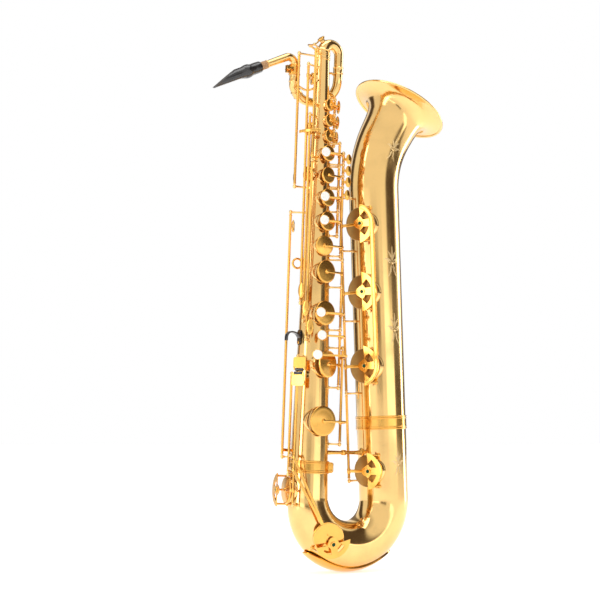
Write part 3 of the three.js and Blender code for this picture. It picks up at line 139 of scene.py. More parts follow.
class SaxophoneStudio(bpy.types.PropertyGroup):
    """Floor, lights and camera"""

    floor: colour("Floor", "Colour of the floor", (0.95, 0.95, 0.955))
    key_light: FloatProperty(name="Key light", description="Power of the left softbox",
                             default=16, unit="POWER")
    fill_light: FloatProperty(name="Fill light", description="Power of the right softbox",
                              default=20, unit="POWER")
    top_light: FloatProperty(name="Top light", description="Power of the overhead softbox",
                             default=30, unit="POWER")
    camera_distance: length("Camera distance", "From the aim point to the camera", 2960)
    camera_azimuth: angle("Camera azimuth", "Round from the front, towards the body", -30)
    camera_height: angle("Camera elevation", "Angle of the camera above the aim point", -5)
    camera_field: angle("Field of view", "Width of the view", 21.9)


# ---------------------------------------------------------------- layout of holes, hinges and posts

# Azimuths are degrees round a tube, from the side that the keys face towards the bell.
# Distances and heights are millimetres; heights run along the tube from the end of the bow's curve.
STACK = {
    "d": (-4, 145, 24.5), "e": (10, 251, 22), "f": (-2, 346, 19.5), "f_sharp": (0, 424, 18),
    "g_sharp": (0, 474, 15.5), "g": (0, 520, 15), "a": (0, 565, 13.5),
    "b_flat": (0, 608, 12.5), "b": (0, 650, 12),
}
LOWER_HINGE = (55, 50)
LOW_D_HINGE = (64, 56)
UPPER_HINGE = (57, 38)
TABLE_HINGE = (64, 46)
SIDE = {
    "side_b_flat_key": ((-50, 40), (-88, 612, 11), 318),
    "side_c_key": ((-61, 40), (-98, 700, 10), 352),
    "side_high_e_key": ((-72, 40), (-106, 798, 8.5), 386),
}
PALM = {"palm_d_key": (20, 686, 9.5), "palm_e_flat_key": (20, 716, 9), "palm_f_key": (20, 746, 8.5)}
PALM_HINGE = (75, 27)
PALM_PITCH = 30
LOW_A_HINGE = (-122, 51)
LOW_A_TUBE = (82, 535)
OCTAVE_HINGE = (-95, 50)
OCTAVE_TUBE = (590, 838)
E_FLAT = (-100, 16, 22)
E_FLAT_HINGE = (-62, 52)
E_FLAT_TUBE = (-6, 258)
LOW_C_ALONG = 46
LOW_C_HOLE = (12, 0, 25.5)
LOW_C_HINGE = (-77, 52)
LOW_C_TUBE = (50, 226)
SPATULA = {"azimuth": -54, "distance": 57.5, "width": 25, "height": 20}
ROLLER_RADIUS, ROLLER_LENGTH = 2.7, 17
ROLLER_MEETING = 234.5
BELL_HINGE = (-98, 71)
BELL_HOLES = {"c_sharp": (-62, 54, 26.5), "b": (-62, 252, 29),
              "b_flat": (-62, 392, 29), "a": (-62, 522, 28.5)}
BELL_KEYS = {"c_sharp": "low_c_sharp_key", "b": "low_b_key", "b_flat": "low_b_flat_key", "a": "low_a_key"}
BELL_TUBES = {"c_sharp": (40, 197), "b": (205, 335), "b_flat": (343, 470), "a": (478, 572)}
GUARD_MARGIN, FELT_RADIUS, FELT_OFFSET = 6, 3.2, 9
LOOP_LEG = Vector((-50, 20, 811))
VENT_ALONG, VENT_HOLE, VENT_TUBE = 15, (0, 0, 4), 11.6
VENT_PIN = Vector((-24, 0, 862))
NECK_STRAIGHT, NECK_BEND, NECK_REACH, NECK_DROP = 12, 13, 78, 26
NECK_FOOT, NECK_TIP = 7.6, 6.2
CORK_LENGTH, CORK_RADIUS, SHANK_OVER_CORK = 30, 7.9, 16
MOUTHPIECE_LENGTH, MOUTHPIECE_RADIUS = 108, 11.4


TRILL_HINGE, TRILL_ROD = (-50, 40), (642, 744, 846)
STRAP = {"height": 690, "distance": 46.5, "from": -88, "to": -30, "legs": (-80, -38)}
RECEIVER = (803, 823)
THUMB_HOOK, STRAP_RING = (-92, 300), (-100, 440)
BRACE_HEIGHT = 88
POST_STEP = 4.5

BODY_POSTS = (
    (LOWER_HINGE, (209, 317, 398, 450)), (LOW_D_HINGE, (104, 284)), (UPPER_HINGE, (496, 542, 586, 629, 674)),
    (TABLE_HINGE, (458, 590, 612, 634, 656)),
    (PALM_HINGE, (PALM["palm_d_key"][1] - PALM_PITCH / 2,
                  *(hole[1] + PALM_PITCH / 2 for hole in PALM.values()))),
    (LOW_A_HINGE, (LOW_A_TUBE[0] - POST_STEP, LOW_A_TUBE[1] + POST_STEP)),
    (OCTAVE_HINGE, (OCTAVE_TUBE[0] - POST_STEP, OCTAVE_TUBE[1] + POST_STEP)),
    (E_FLAT_HINGE, (E_FLAT_TUBE[1] + POST_STEP,)), (LOW_C_HINGE, (LOW_C_TUBE[1] + POST_STEP,)),
    *((hinge, (touch_at - 22, hole[1] + 22)) for hinge, hole, touch_at in SIDE.values()),
)
# Ribs under the posts: azimuth, lowest and highest end, and thickness.
RIB_HALF = 5.5
BODY_RIBS = (
    (55, 196, 462, 0.8), (57, 486, 684, 0.7), (66, 574, 661, 1.0), (75, 662, 770, 0.8), (64, 96, 112, 0.9),
    (64, 276, 292, 0.9), (-122, 68, 88, 0.8), (-122, 530, 550, 0.8),
    (-95, 576, 596, 0.8), (-77, 222, 272, 0.7),
    (-50, 286, 306, 0.8), (-61, 320, 340, 0.8), (-72, 354, 374, 0.8),
    (-50, 624, 644, 0.8), (-61, 712, 732, 0.8),
    (-72, 810, 830, 0.8),
)
# Sprigs on the bell: azimuth, distance along the bell, and size.
SPRIGS = ((2, 668, 1.1), (8, 447, 1.35), (9, 318, 1.35), (6, 64, 1.1))

# Screens round the studio: bearing from the camera, half width and softness in degrees, depth, and zone.
SCREENS = (
    (78, 20, 9, 0.94, "high"), (108, 32, 7, 0.94, "low"), (-3, 10, 6, 0.86, "low"),
    (-128, 10, 7, 0.95, "both"),
    (158, 9, 8, 0.9, "both"), (-168, 7, 7, 0.8, "both"),
)
LOW_BOXES = ((-44, 20, 3), (50, 19, 3))
CAMERA_AIM = Vector((-0.0756, 0.0436, 0.5125))
FLOOR_LEVEL = -0.0004


def beside(azimuth, distance, z):
    turn = math.radians(azimuth)
    return Vector((distance * math.sin(turn), -distance * math.cos(turn), z))


def outward(azimuth):
    return beside(azimuth, 1, 0)


def across(azimuth):
    turn = math.radians(azimuth)
    return Vector((math.cos(turn), math.sin(turn), 0))


def aim(place, direction):
    """The matrix that stands +Z of a piece along a direction, at a place."""
    return Matrix.Translation(place) @ Z_AXIS.rotation_difference(direction.normalized()).to_matrix().to_4x4()


def basis(x, y, z, place):
    return Matrix.Translation(place) @ Matrix((x, y, z)).transposed().to_4x4()


def lerp(a, b, t):
    return a + (b - a) * t


def centre_line(start, heading, stretches):
    """A line in the XZ plane, of stretches that each have a length and a turn towards +X, in degrees."""

    def place(distance):
        x, z = start
        angle_now, left = math.radians(heading), distance
        for i, (run_length, turn) in enumerate(stretches):
            run = left if i == len(stretches) - 1 else min(max(left, 0), run_length)
            swing = math.radians(turn) * run / run_length
            if abs(swing) < 1e-9:
                x += run * math.sin(angle_now)
                z += run * math.cos(angle_now)
            else:
                x += run / swing * (math.cos(angle_now) - math.cos(angle_now + swing))
                z += run / swing * (math.sin(angle_now + swing) - math.sin(angle_now))
            angle_now += swing
            left -= run
        return x, z, angle_now

    return place


def bent(shell, line):
    """Bends a shell made along Z so that Z follows the line."""
    verts, faces = shell
    moved = []
    for v in verts:
        x, z, turn = line(v.z)
        moved.append(Vector((x + v.x * math.cos(turn), v.y, z - v.x * math.sin(turn))))
    return moved, faces


class Layout:
    """The tubes' frames and centre lines in millimetres, worked out from the scene's sizes."""

    def __init__(self, scene):
        tubes, keys = scene.saxophone_tubes, scene.saxophone_keywork
        for group in (tubes, keys):
            for name in group.bl_rna.properties.keys():
                value = getattr(group, name)
                if isinstance(value, float):
                    is_length = group.bl_rna.properties[name].unit == "LENGTH"
                    setattr(self, name, value / MM if is_length else value)
        plate_inner = self.bow_tube + 1.2
        self.guard_inner = plate_inner
        drop = (plate_inner + self.guard_plate) * math.cos(math.radians(32 / 9))
        self.bow_height = (self.bow_radius + drop) * math.cos(math.radians(5))
        self.body = self.leg(-1, self.body_lean)
        self.bell = self.leg(1, self.bell_lean)
        self.bow_turn = 180 + math.degrees(self.body_lean + self.bell_lean)
        self.bow_curve = math.radians(self.bow_turn) * self.bow_radius
        top = self.body @ Vector((0, 0, self.body_start))
        self.bow_line = centre_line((top.x, top.z), 180 + math.degrees(self.body_lean), [
            (self.body_start, 0), (self.bow_curve, -self.bow_turn), (self.bell_start, 0)])
        self.bow_length = self.body_start + self.bow_curve + self.bell_start
        bell_turn = math.degrees(self.bell_turn)
        self.bell_line = centre_line((0, 0), 0, [
            (self.bell_start + self.bell_straight, 0), (self.bell_curve, bell_turn), (self.bell_flare, 0)])
        self.bell_length = self.bell_start + self.bell_straight + self.bell_curve + self.bell_flare
        self.body_end = self.body_start + self.body_length
        self.loop_line = centre_line((0, self.body_end + 0.3), 0, [(math.pi * self.loop_turn, 180), (20, 0)])
        distance = self.body_start + math.radians(LOW_C_ALONG) * self.bow_radius
        self.low_c_matrix = self.bow_matrix(distance)
        self.low_c_radius = self.bow_tube_radius(distance)
        self.neck_start = LOOP_LEG.z + 0.3
        self.neck_bend = NECK_BEND * math.radians(90 + NECK_DROP)
        self.neck_line = centre_line((LOOP_LEG.x, self.neck_start), 0, [
            (NECK_STRAIGHT, 0), (self.neck_bend, -90 - NECK_DROP), (NECK_REACH, 0)])
        self.neck_length = NECK_STRAIGHT + self.neck_bend + NECK_REACH

    def leg(self, side, lean):
        height = self.bow_height + self.bow_radius * math.sin(lean)
        place = Vector((side * self.bow_radius * math.cos(lean), 0, height))
        return Matrix.Translation(place) @ Matrix.Rotation(-side * lean, 4, "Y")

    def body_radius(self, z):
        return self.body_foot - self.body_taper * z

    def bell_radius(self, z=0):
        return self.bell_tube + 0.5

    def bow_tube_radius(self, distance):
        turn = min(max((distance - self.body_start) / self.bow_curve, 0), 1)
        if distance < self.body_start:
            return self.body_radius(self.body_start - distance)
        if turn < 0.5:
            return lerp(self.body_foot, self.bow_tube, math.sin(math.pi * turn))
        return lerp(self.bow_tube, self.bell_tube, 2 * turn - 1)

    def bow_matrix(self, distance):
        x, z, turn = self.bow_line(distance)
        out = Vector((math.cos(turn), 0, -math.sin(turn)))
        along = Vector((math.sin(turn), 0, math.cos(turn)))
        return basis(out, Vector((0, 1, 0)), along, Vector((x, 0, z)))

    def seat(self, tube_radius):
        return tube_radius + self.chimney_rise + self.pad_gap

    def arm_height(self, tube_radius):
        return self.seat(tube_radius) + self.cup_depth + self.arm_depth / 2 - 0.8

    def guard_height(self, tube_radius, lift):
        return self.seat(tube_radius) + self.cup_depth + lift * 1.35 + 4

    def bell_profile(self):
        """(radius, distance along) of the bell's outside."""
        start = self.bell_start + self.bell_straight
        points = [(self.bell_tube, self.bell_start + 0.3)]
        points += [(self.bell_tube + i / 8, lerp(self.bell_start, start, i / 8)) for i in range(1, 8)]
        points += [(self.bell_tube + 1 + 3 * (i / 12) ** 2, start + i / 12 * self.bell_curve)
                   for i in range(13)]
        throat = self.bell_tube + 4
        opening = [(0.25, 0.02), (0.5, 0.06), (0.6, 0.10), (0.7, 0.16),
                   (0.77, 0.23), (0.83, 0.31), (0.88, 0.41),
                   (0.92, 0.52), (0.95, 0.63), (0.97, 0.73), (0.985, 0.85), (1, 1)]
        points += [(throat + (self.bell_rim - throat) * wide, start + self.bell_curve + at * self.bell_flare)
                   for at, wide in opening]
        return points

    def vent_matrix(self):
        x, z, turn = self.loop_line(VENT_ALONG)
        out = Vector((-math.cos(turn), 0, math.sin(turn)))
        along = Vector((math.sin(turn), 0, math.cos(turn)))
        return basis((-out).cross(along), -out, along, Vector((x, 0, z)))

    def lift_turn(self, hinge, hole, lift):
        """Radians about the tube's axis that lift a cup."""
        out = outward(hole[0])
        lever = out * hinge[1] - beside(*hinge, 0)
        return lift / Z_AXIS.cross(lever).dot(out)


# ---------------------------------------------------------------- shells


def stitched(rows, ring=False):
    """Faces between rows of vertex numbers that run round a closed section."""
    faces = []
    count = len(rows)
    for i in range(count if ring else count - 1):
        low, high = rows[i], rows[(i + 1) % count]
        for j in range(len(low)):
            k = (j + 1) % len(low)
            face = []
            for corner in (low[j], low[k], high[k], high[j]):
                if corner not in face:
                    face.append(corner)
            if len(face) > 2:
                faces.append(tuple(face))
    return faces


def lathe(profile, sides=48, place=None):
    """A shell turned about Z from (radius, height) points; one that ends where it starts makes a ring."""
    ring = profile[0] == profile[-1]
    verts, rows = [], []
    for radius, height in (profile[:-1] if ring else profile):
        if radius < 1e-6:
            rows.append([len(verts)] * sides)
            verts.append(Vector((0, 0, height)))
            continue
        rows.append(list(range(len(verts), len(verts) + sides)))
        turns = [2 * math.pi * i / sides for i in range(sides)]
        verts += [Vector((radius * math.cos(t), radius * math.sin(t), height)) for t in turns]
    shell = verts, stitched(rows, ring)
    return shell if place is None else moved(shell, place)


def loft(rings):
    """A closed shell through rings of points, with both ends capped."""
    verts, rows = [], []
    for ring in rings:
        rows.append(list(range(len(verts), len(verts) + len(ring))))
        verts += ring
    return verts, stitched(rows) + [tuple(rows[0]), tuple(rows[-1])]


def sweep(path, section, face=None):
    """Carries a section, given for each share of the way, along a path."""
    rings = []
    u = face or Vector((0.31, 0.83, 0.46))
    last = len(path) - 1
    for i, point in enumerate(path):
        tangent = (path[min(i + 1, last)] - path[max(i - 1, 0)]).normalized()
        if face:
            u = face
        u = (u - tangent * u.dot(tangent)).normalized()
        v = tangent.cross(u)
        rings.append([point + u * a + v * b for a, b in section(i / last)])
    return loft(rings)


def bar(start, end, section, steps=6, face=Z_AXIS):
    return sweep([start.lerp(end, i / steps) for i in range(steps + 1)], section, face)


def round_section(radius, sides=16):
    radius_at = radius if callable(radius) else lambda t: radius
    return lambda t: [(radius_at(t) * math.cos(2 * math.pi * i / sides),
                       radius_at(t) * math.sin(2 * math.pi * i / sides))
                      for i in range(sides)]


def strap_section(width, depth, sides=20):
    """A rounded oblong; width is a number or a function of the share of the way."""
    width_at = width if callable(width) else lambda t: width

    def points(t):
        found = []
        for i in range(sides):
            turn = 2 * math.pi * (i + 0.5) / sides
            c, s = math.cos(turn), math.sin(turn)
            found.append((width_at(t) / 2 * math.copysign(abs(c) ** 0.4, c),
                          depth / 2 * math.copysign(abs(s) ** 0.5, s)))
        return found

    return points


def smooth_path(points, steps=8):
    """A curve through points."""
    points = [Vector(p) for p in points]
    whole = [points[0] * 2 - points[1], *points, points[-1] * 2 - points[-2]]
    found = []
    for i in range(1, len(whole) - 2):
        a, b, c, d = whole[i - 1:i + 3]
        for step in range(steps):
            t = step / steps
            found.append(0.5 * (2 * b + (c - a) * t + (2 * a - 5 * b + 4 * c - d) * t ** 2
                                + (3 * b - a - 3 * c + d) * t ** 3))
    return found + [points[-1]]


def rounded_corner(foot, corner, end, radius, steps=7):
    """Straight from foot towards a corner, round it, and on to the end."""
    radius = min(radius, (corner - foot).length * 0.9, (end - corner).length * 0.9)
    enter = corner + (foot - corner).normalized() * radius
    leave = corner + (end - corner).normalized() * radius
    turn = [enter.lerp(corner, t).lerp(corner.lerp(leave, t), t)
            for t in (i / steps for i in range(steps + 1))]
    return [foot, foot.lerp(enter, 0.5), *turn, leave.lerp(end, 0.5), end]


def rod(start, end, radius, sides=16, edge=0.35):
    run = end - start
    far = run.length
    edge = min(edge, radius * 0.4)
    profile = [(0, 0), (radius - edge, 0), (radius, edge), (radius, far - edge),
               (radius - edge, far), (0, far)]
    return lathe(profile, sides, aim(start, run))


def ball(place, radius, sides=20):
    profile = [(radius * math.sin(math.pi * i / 10), -radius * math.cos(math.pi * i / 10)) for i in range(11)]
    profile[0], profile[-1] = (0, -radius), (0, radius)
    return lathe(profile, sides, Matrix.Translation(place))


def torus(radius, bead, sides=96, place=Matrix.Identity(4)):
    profile = [(radius + bead * math.cos(math.pi * i / 8), bead * math.sin(math.pi * i / 8))
               for i in range(16)]
    return lathe(profile + profile[:1], sides, place)


def slab(outline, depth, holes=()):
    """A flat plate in XY with holes, raised along Z."""
    loops = [[Vector((x, y, 0)) for x, y in loop] for loop in (outline, *holes)]
    flat = [v for loop in loops for v in loop]
    count = len(flat)
    triangles = tessellate_polygon(loops)
    verts = flat + [v + Vector((0, 0, depth)) for v in flat]
    faces = [tuple(t) for t in triangles] + [tuple(i + count for i in reversed(t)) for t in triangles]
    start = 0
    for loop in loops:
        size = len(loop)
        for i in range(size):
            a, b = start + i, start + (i + 1) % size
            faces.append((a, b, b + count, a + count))
        start += size
    return verts, faces


def arc(x, y, radius, start, end, steps):
    turns = [math.radians(lerp(start, end, i / steps)) for i in range(steps + 1)]
    return [(x + radius * math.cos(t), y + radius * math.sin(t)) for t in turns]


def moved(shell, matrix):
    verts, faces = shell
    return [matrix @ v for v in verts], faces


def wrapped(azimuth, half, low, high, radius_at, depth, steps=8):
    """A thin plate that lies on a tube, between two heights, with rounded ends."""
    rings = []
    rows = 14
    for i in range(rows + 1):
        t = i / rows
        z = lerp(low, high, t)
        ease = min(1, math.sqrt(max(1 - (1 - min(t, 1 - t) * (high - low) / half) ** 2, 0.02)) if
                   min(t, 1 - t) * (high - low) < half else 1)
        radius = radius_at(z)
        spread = math.degrees(half * ease / radius)
        turns = [lerp(-spread, spread, j / steps) for j in range(steps + 1)]
        rings.append([beside(azimuth + a, radius + depth, z) for a in turns]
                     + [beside(azimuth + a, radius - 0.3, z) for a in reversed(turns)])
    return loft(rings)


class Piece:
    """Shells gathered into one object that rides on a body."""

    def __init__(self, matrix):
        self.matrix = Matrix.Scale(MM, 4) @ matrix
        self.verts, self.faces, self.marks = [], [], []

    def add(self, shell, matrix=None, mark=0):
        verts, faces = moved(shell, matrix) if matrix else shell
        start = len(self.verts)
        self.verts += verts
        self.faces += [tuple(i + start for i in face) for face in faces]
        self.marks += [mark] * len(faces)
        return self

    def build(self, name, body, look, replaces=(), bevel=0.0, second=None):
        """Makes the object, in one finish or in two where some faces are marked."""
        mesh = bpy.data.meshes.new(name)
        mesh.from_pydata([self.matrix @ v for v in self.verts], [], self.faces)
        mesh.polygons.foreach_set("material_index", self.marks)
        work = bmesh.new()
        work.from_mesh(mesh)
        bmesh.ops.recalc_face_normals(work, faces=work.faces)
        work.to_mesh(mesh)
        work.free()
        mesh.shade_smooth()
        mesh.set_sharp_from_angle(angle=math.radians(38))
        made = bpy.data.objects.new(name, mesh)
        bpy.context.scene.collection.objects.link(made)
        for chosen in (look, second):
            if chosen:
                mesh.materials.append(chosen.material)
        if bevel:
            edge = made.modifiers.new("edges", "BEVEL")
            edge.width = bevel * MM
            edge.segments = 2
            edge.limit_method = "ANGLE"
            edge.angle_limit = math.radians(50)
            edge.harden_normals = True
        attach(made, body)
        if replaces:
            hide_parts(*replaces)
        return made


# ---------------------------------------------------------------- finishes


class Value:
    """A socket that takes part in arithmetic."""

    def __init__(self, finish, socket):
        self.finish, self.socket = finish, socket

    def math(self, operation, *terms):
        return self.finish.node("ShaderNodeMath", {"operation": operation}, dict(enumerate(terms)))

    def __add__(self, other):
        return self.math("ADD", self, other)

    def __radd__(self, other):
        return self.math("ADD", other, self)

    def __sub__(self, other):
        return self.math("SUBTRACT", self, other)

    def __rsub__(self, other):
        return self.math("SUBTRACT", other, self)

    def __mul__(self, other):
        return self.math("MULTIPLY", self, other)

    def __rmul__(self, other):
        return self.math("MULTIPLY", other, self)

    def __pow__(self, other):
        return self.math("POWER", self, other)


class Finish:
    """A material, with its shader's constants and the links that vary over the surface."""

    def __init__(self, name, **constants):
        self.material = bpy.data.materials.new(name)
        self.material.use_nodes = True
        self.tree = self.material.node_tree
        self.shader = self.tree.nodes["Principled BSDF"]
        for socket, value in constants.items():
            self.shader.inputs[socket.replace("_", " ").title().replace("Ior", "IOR")].default_value = value

    def node(self, kind, settings=None, inputs=None, output=0):
        made = self.tree.nodes.new(kind)
        for name, value in (settings or {}).items():
            if name == "stops":
                while len(made.color_ramp.elements) < len(value):
                    made.color_ramp.elements.new(0.5)
                for element, (place, tint) in zip(made.color_ramp.elements, value):
                    element.position = place
                    element.color = (*tint, 1) if len(tint) == 3 else tint
            else:
                setattr(made, name, value)
        for name, value in (inputs or {}).items():
            if isinstance(value, Value):
                self.tree.links.new(value.socket, made.inputs[name])
            else:
                made.inputs[name].default_value = value
        return Value(self, made.outputs[output])

    def link(self, name, value):
        self.tree.links.new(value.socket, self.shader.inputs[name])

    def place(self):
        return self.node("ShaderNodeTexCoord", output="Object")

    def stretched(self, scale):
        return self.node("ShaderNodeMapping", inputs={"Vector": self.place(), "Scale": scale})

    def noise(self, scale, detail=3.0, roughness=0.5, at=None):
        return self.node("ShaderNodeTexNoise", inputs={
            "Vector": at or self.place(), "Scale": scale, "Detail": detail, "Roughness": roughness})

    def ramp(self, value, low, high):
        return self.node("ShaderNodeMapRange", {"clamp": True}, {"Value": value, 1: low, 2: high})

    def mix(self, factor, a, b):
        return self.node("ShaderNodeMix", {"data_type": "RGBA"}, {0: factor, 6: a, 7: b}, output=2)

    def bump(self, height, strength, distance=0.0002):
        self.link("Normal", self.node("ShaderNodeBump", inputs={
            "Height": height, "Strength": strength, "Distance": distance}))


Look = namedtuple("Look", "material slot")


def tint(rgb, gain=1.0):
    return (min(rgb[0] * gain, 1), min(rgb[1] * gain, 1), min(rgb[2] * gain, 1), 1)


def lacquered(name, rgb, roughness, darker=0.72):
    """Polished brass under clear lacquer: tarnish in soft clouds, a painted highlight that lightens sharp
    convex edges, and faint wiping marks.
    """
    made = Finish(name, metallic=1.0, coat_weight=0.35, coat_roughness=0.04)
    clouds = made.ramp(made.noise(14.0, 4.0, 0.6), 0.42, 0.72)
    # Painted highlight: sharp convex edges, found by pointiness, are mixed towards a lighter brass.
    edges = made.ramp(made.node("ShaderNodeNewGeometry", output="Pointiness"), 0.51, 0.58)
    body = made.mix(clouds * 0.55, tint(rgb), tint(Vector(rgb) * darker))
    made.link("Base Color", made.mix(edges * 0.4, body, tint(rgb, 1.15)))
    wiping = made.noise(90.0, 2.0, 0.5, made.stretched((1.0, 1.0, 0.12)))
    made.link("Roughness", roughness + 0.07 * clouds + 0.05 * wiping)
    made.bump(made.noise(260.0, 2.0), 0.012)
    return made.material


def satin(name, rgb, roughness):
    """Satin brass with fine scratches and handling marks."""
    made = Finish(name, metallic=1.0, coat_weight=0.15, coat_roughness=0.2)
    clouds = made.ramp(made.noise(30.0, 4.0, 0.6), 0.35, 0.7)
    made.link("Base Color", made.mix(clouds, tint(Vector(rgb) * 0.82), tint(rgb, 1.12)))
    grain = made.noise(900.0, 2.0, 0.6, made.stretched((1.0, 0.2, 1.0)))
    made.link("Roughness", roughness + 0.12 * grain)
    made.bump(grain, 0.05, 0.0001)
    return made.material


def ebonite(name, rgb):
    made = Finish(name, coat_weight=0.4, coat_roughness=0.08, specular_ior_level=0.6)
    haze = made.ramp(made.noise(60.0, 4.0, 0.6), 0.4, 0.75)
    made.link("Base Color", made.mix(haze, tint(rgb), tint((0.020, 0.018, 0.017))))
    sanding = made.noise(700.0, 2.0, 0.5, made.stretched((0.08, 1.0, 0.3)))
    made.link("Roughness", 0.17 + 0.12 * haze + 0.06 * sanding)
    made.bump(sanding, 0.03, 0.0001)
    return made.material


def cork(name, rgb):
    made = Finish(name, specular_ior_level=0.25)
    cells = made.node("ShaderNodeTexVoronoi", {"feature": "F1"}, {"Vector": made.place(), "Scale": 900.0})
    pores = made.ramp(made.noise(420.0, 5.0, 0.7), 0.55, 0.68)
    body = made.mix(made.ramp(cells, 0.1, 0.9), tint(rgb), tint(Vector(rgb) * 0.7))
    made.link("Base Color", made.mix(pores, body, tint((0.16, 0.07, 0.03))))
    made.link("Roughness", 0.8 + 0.15 * pores)
    made.bump(1 - pores + 0.3 * cells, 0.5, 0.0003)
    return made.material


def felt(name, rgb):
    made = Finish(name, sheen_weight=0.6, sheen_roughness=0.5, specular_ior_level=0.1)
    fibres = made.noise(2600.0, 4.0, 0.8)
    made.link("Base Color", made.mix(made.ramp(fibres, 0.3, 0.7), tint(Vector(rgb) * 0.6), tint(rgb, 1.9)))
    made.link("Roughness", 0.9 + 0.1 * fibres)
    made.bump(fibres, 0.8, 0.0004)
    return made.material


def pearl(name, rgb):
    """Mother of pearl: soft bands of faint pink and green under a hard gloss."""
    made = Finish(name, coat_weight=0.8, coat_roughness=0.03, specular_ior_level=0.6)
    bands = made.noise(160.0, 3.0, 0.5, made.stretched((1.0, 1.0, 2.5)))
    shades = made.node("ShaderNodeValToRGB", {"stops": [
        (0.25, (0.93, 0.80, 0.78)), (0.45, tuple(rgb)), (0.6, (0.80, 0.88, 0.82)),
        (0.8, (0.95, 0.93, 0.90))]},
        {"Fac": bands})
    made.link("Base Color", shades)
    made.link("Roughness", 0.12 + 0.15 * bands)
    made.bump(bands, 0.02)
    return made.material


def leather(name, rgb):
    made = Finish(name, specular_ior_level=0.3)
    grain = made.node("ShaderNodeTexVoronoi", {"feature": "F1"}, {"Vector": made.place(), "Scale": 1400.0})
    made.link("Base Color", made.mix(made.noise(80.0), tint(Vector(rgb) * 0.75), tint(rgb, 1.15)))
    made.link("Roughness", 0.5 + 0.2 * grain)
    made.bump(grain, 0.25)
    return made.material


def finishes(scene):
    """Every finish with its slot in the record, made once and found by name after that."""
    chosen = scene.saxophone_finish
    makers = {
        "lacquered_brass": ("lacquered_brass", lacquered, chosen.lacquer, chosen.lacquer_gloss),
        "key_brass": ("key_brass", lacquered, chosen.keys, chosen.keys_gloss, 0.66),
        "satin_cups": ("key_brass", satin, chosen.cups, chosen.cups_gloss),
        "black_ebonite": ("ebonite", ebonite, chosen.ebonite),
        "neck_cork": ("cork", cork, chosen.cork),
        "green_felt": ("felt", felt, chosen.felt),
        "mother_of_pearl": ("pearl", pearl, chosen.pearl),
        "pad_leather": ("felt", leather, chosen.leather),
        "engraved_lines": ("lacquered_brass", satin, chosen.engraving, 0.34),
    }
    looks = {}
    for key, (slot, make, *settings) in makers.items():
        name = f"{key}_finish"
        looks[key] = Look(bpy.data.materials.get(name) or make(name, *settings), slot)
    return looks


# ---------------------------------------------------------------- posts, chimneys and keys


def chimney(lay, hole, tube_radius):
    """A tone hole's wall with a rolled seat and a flared root, standing on its tube."""
    azimuth, z, radius = hole
    seat = tube_radius + lay.chimney_rise
    drop = tube_radius - math.sqrt(max(tube_radius ** 2 - (radius + 2) ** 2, 0)) + 1
    profile = [(radius, seat - drop - 3), (radius, seat - 0.5), (radius + 0.35, seat), (radius + 0.75, seat),
               (radius + 1.1, seat - 0.5), (radius + 1.1, seat - drop - 3), (radius, seat - drop - 3)]
    return lathe(profile, 64, aim(beside(azimuth, 0, z), outward(azimuth)))


def post(lay, hinge, z, root):
    """A turned post with a flange on the tube, a waist, and a ball drilled for the hinge rod."""
    azimuth, distance = hinge
    rise = distance - root
    neck, head = lay.post_neck, lay.post_ball
    profile = [(0, -2.5), (4.3, -2.5), (4.3, 0.5), (3.6, 1.1), (2.6, 1.7), (neck + 0.3, min(3.4, rise * 0.4)),
               (neck, rise * 0.55), (neck + 0.25, max(rise - head - 1.2, rise * 0.6)),
               (neck + 0.7, rise - head + 0.5), (0, rise)]
    head_at = beside(azimuth, distance, z)
    step = Z_AXIS * (head + 0.4)
    screw = Z_AXIS * (head + 0.9)
    return [lathe(profile, 20, aim(beside(azimuth, root, z), outward(azimuth))), ball(head_at, head),
            rod(head_at - step, head_at + step, 2.5), rod(head_at - screw, head_at + screw, 1.5)]


def hinge_rod(lay, hinge, low, high):
    """A hinge tube with a collar at each end."""
    r = lay.hinge_tube
    profile = [(0, low), (r + 0.1, low), (r + 0.45, low + 0.4), (r + 0.45, low + 2.2), (r, low + 2.8),
               (r, high - 2.8), (r + 0.45, high - 2.2), (r + 0.45, high - 0.4), (r + 0.1, high), (0, high)]
    return lathe(profile, 20, Matrix.Translation(beside(*hinge, 0)))


def cup_shells(lay, radius, dome=0.0):
    """A key cup and its pad, from the seat upwards along Z."""
    deep = lay.cup_depth
    cup = [(0, 1.0), (radius - 0.6, 1.0), (radius, 1.3), (radius, 3.2),
           (radius - 0.25, 3.9), (radius - 0.9, 4.4),
           (radius - 2.2, 4.6), (radius * 0.78, 4.7 + dome * 0.2), (radius * 0.6, 4.95 + dome * 0.5),
           (radius * 0.4, 5.2 + dome * 0.75), (radius * 0.2, deep - 0.25 + dome * 0.95),
           (0, deep - 0.2 + dome)]
    pad = [(0, 0), (radius - 2.2, 0), (radius - 1.2, 0.2), (radius - 0.8, 0.7), (radius - 0.8, 1.4), (0, 1.4)]
    return lathe(cup, 64), lathe(pad, 64)


def arm(lay, hinge, azimuth, height, z, beyond=2.0, width=None):
    """An arm that rises from its hinge, turns over and tapers to its end."""
    width = width or lay.arm_width
    out = outward(azimuth)
    foot = beside(*hinge, z)
    corner = foot + out * (height - foot.dot(out))
    end = out * height + Vector((0, 0, z))
    end = end + (end - corner).normalized() * beyond
    path = rounded_corner(foot, corner, end, 6.5)
    ridge = sweep(path, strap_section(lambda t: lerp(width + 1, width - 1.4, t), lay.arm_depth), Z_AXIS)
    r, half = lay.hinge_tube, width / 2
    collar = [(0, z - half - 1.2), (r + 0.7, z - half - 1.2), (r + 0.9, z - half - 0.8),
              (r + 0.9, z + half + 0.8), (r + 0.7, z + half + 1.2), (0, z + half + 1.2)]
    return [ridge, lathe(collar, 20, Matrix.Translation(beside(*hinge, 0)))]


def boss(azimuth, height, z, radius=3.6):
    profile = [(0, -2.4), (radius + 0.8, -2.4), (radius, -0.8),
               (radius - 0.8, 1.6), (radius - 1.6, 2.1), (0, 2.1)]
    return lathe(profile, 24, aim(beside(azimuth, height, z), outward(azimuth)))


